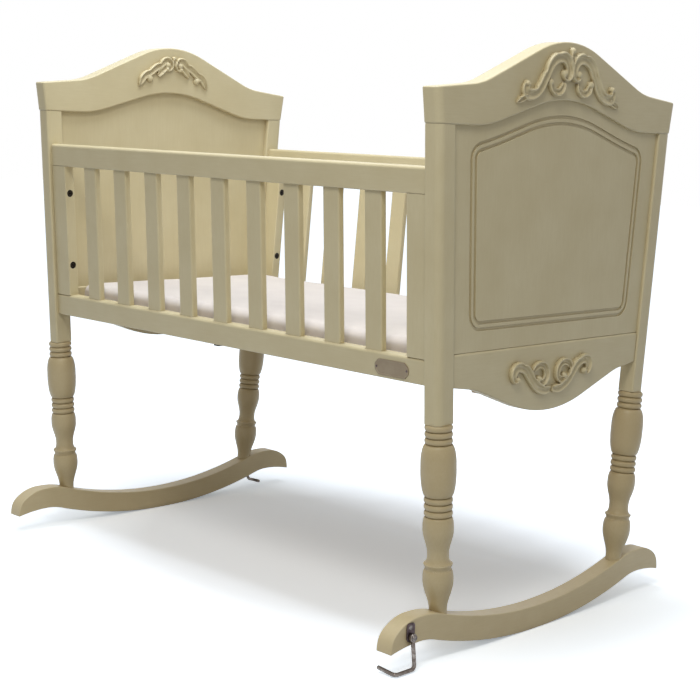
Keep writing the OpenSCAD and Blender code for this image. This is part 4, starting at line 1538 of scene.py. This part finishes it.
@dataclass
class Studio:
    """The floor, the soft lights and the camera."""

    azimuth: float = 44.188
    elevation: float = 8.498
    roll: float = 2.242
    distance: float = 2.62446
    target: tuple = (0.05203, 0.0, 0.39388)
    lens: float = 75.88
    floor_tone: tuple = (0.5, 0.5, 0.5, 1.0)
    floor_seen: tuple = (1.22, 1.26, 1.32, 1.0)
    # Glow of the floor for the eye, weak near the cradle and strong far from it; the weak glow paints shade
    # round the cradle.
    floor_glow: float = 0.2
    far_glow: float = 0.85
    # Shape and reach of the pool of painted shade round the cradle, where the glow is weak.
    shade_pool_scale: tuple = (1.6, 2.1, 1.0)
    shade_pool_shift: tuple = (0.0, -0.16, 0.0)
    shade_pool_edge: Spot = (0.7, 1.5)
    world_light: float = 0.31
    lamps: tuple[Lamp, ...] = (
        Lamp("overhead", (-0.1, -0.15, 2.3), (-0.1, 0.0, 0.4), 0.9, 25.0, (0.95, 1.0, 1.06)),
        Lamp("key", (1.2, -1.5, 2.3), (0.1, 0.0, 0.5), 0.7, 19.0, (1.0, 0.975, 0.92)),
        Lamp("fill", (1.9, -2.4, 1.2), (0.0, 0.0, 0.45), 2.0, 2.0, (1.0, 0.98, 0.93)),
    )

    def camera(self) -> None:
        """Puts the camera where the photograph was taken from."""
        a, e, r = (math.radians(x) for x in (self.azimuth, self.elevation, self.roll))
        back = Vector((math.sin(a) * math.cos(e), -math.cos(a) * math.cos(e), math.sin(e)))
        right = Vector((math.cos(a), math.sin(a), 0))
        up = back.cross(right)
        level = math.cos(r) * right + math.sin(r) * up
        upright = -math.sin(r) * right + math.cos(r) * up
        matrix = Matrix((level, upright, back)).transposed().to_4x4()
        matrix.translation = Vector(self.target) + back * self.distance
        data = bpy.data.cameras.new("camera")
        data.lens = self.lens
        data.sensor_width = 36
        data.clip_end = 60
        camera = link("camera", data)
        camera.matrix_world = matrix
        bpy.context.scene.camera = camera

    def either(self, sheet: NodeSheet, lit: object, shown: object) -> NodeSocket:
        """Parts what lights the cradle from what an eye, a reflection or a see-through face meets.

        Args:
            sheet: The material's or the world's sheet.
            lit: The shader that lights the cradle.
            shown: The shader that is seen.

        Returns:
            The chosen shader's socket.
        """
        path = sheet.add("LightPath")
        mask = path.outputs["Is Camera Ray"]
        for label in ("Is Glossy Ray", "Is Transmission Ray"):
            mask = sheet.math("ADD", mask, path.outputs[label], clamp=True)
        return sheet.fill(sheet.add("MixShader"), mask, lit, shown).outputs[0]

    def floor(self) -> None:
        """Lays the floor, which keeps the cradle's real shadow and glows for the eye, weakly near the cradle
        and strongly further out, so that it is white away from the cradle and holds painted shade round it.
        """
        bm = bmesh.new()
        bmesh.ops.create_grid(bm, x_segments=8, y_segments=8, size=14.0)
        material = bpy.data.materials.new("floor")
        sheet = blank_sheet(material)
        matt = sheet.add("BsdfDiffuse", color=self.floor_tone)
        pale = sheet.add("BsdfDiffuse", color=self.floor_seen)
        spread = sheet.vector("MULTIPLY_ADD", sheet.place(), self.shade_pool_scale, self.shade_pool_shift)
        away = sheet.vector("LENGTH", spread.outputs[0]).outputs["Value"]
        # Painted shade: a bluish glow that is weak near the cradle and strong further out, on top of the real
        # shadow.
        fade = sheet.band(away, *self.shade_pool_edge, self.floor_glow, self.far_glow)
        glow = sheet.add("Emission", color=(0.8, 0.9, 1.0, 1), strength=fade)
        both = sheet.fill(sheet.add("AddShader"), pale.outputs[0], glow.outputs[0]).outputs[0]
        sheet.add("OutputMaterial", surface=self.either(sheet, matt.outputs[0], both))
        mesh = settle(bm, "floor")
        mesh.materials.append(material)
        link("floor", mesh)

    def world(self) -> None:
        """Fills the room with soft grey light, and shows white behind the cradle."""
        world = bpy.data.worlds.new("studio")
        bpy.context.scene.world = world
        sheet = blank_sheet(world)
        light = sheet.add("Background", color=(1.0, 0.96, 0.9, 1), strength=self.world_light)
        white = sheet.add("Background", color=(1, 1, 1, 1), strength=1.0)
        sheet.add("OutputWorld", surface=self.either(sheet, light.outputs[0], white.outputs[0]))

    def build(self) -> None:
        """Sets up the whole studio."""
        bpy.context.scene.view_settings.view_transform = "Standard"
        self.camera()
        self.floor()
        self.world()
        for lamp in self.lamps:
            lamp.build()


def main() -> None:
    """Builds the cradle's looks, piece by piece."""
    logging.basicConfig(level=logging.INFO, format="%(name)s %(message)s")
    Studio().build()
    Joinery().build()
    Rockers().build()
    TurnedLegs().build()
    for carving in carvings():
        carving.build()
    Mattress().build()
    Stops().build()
    Nameplate().build()
    KeptSolids().build()


if __name__ == "__main__":
    main()
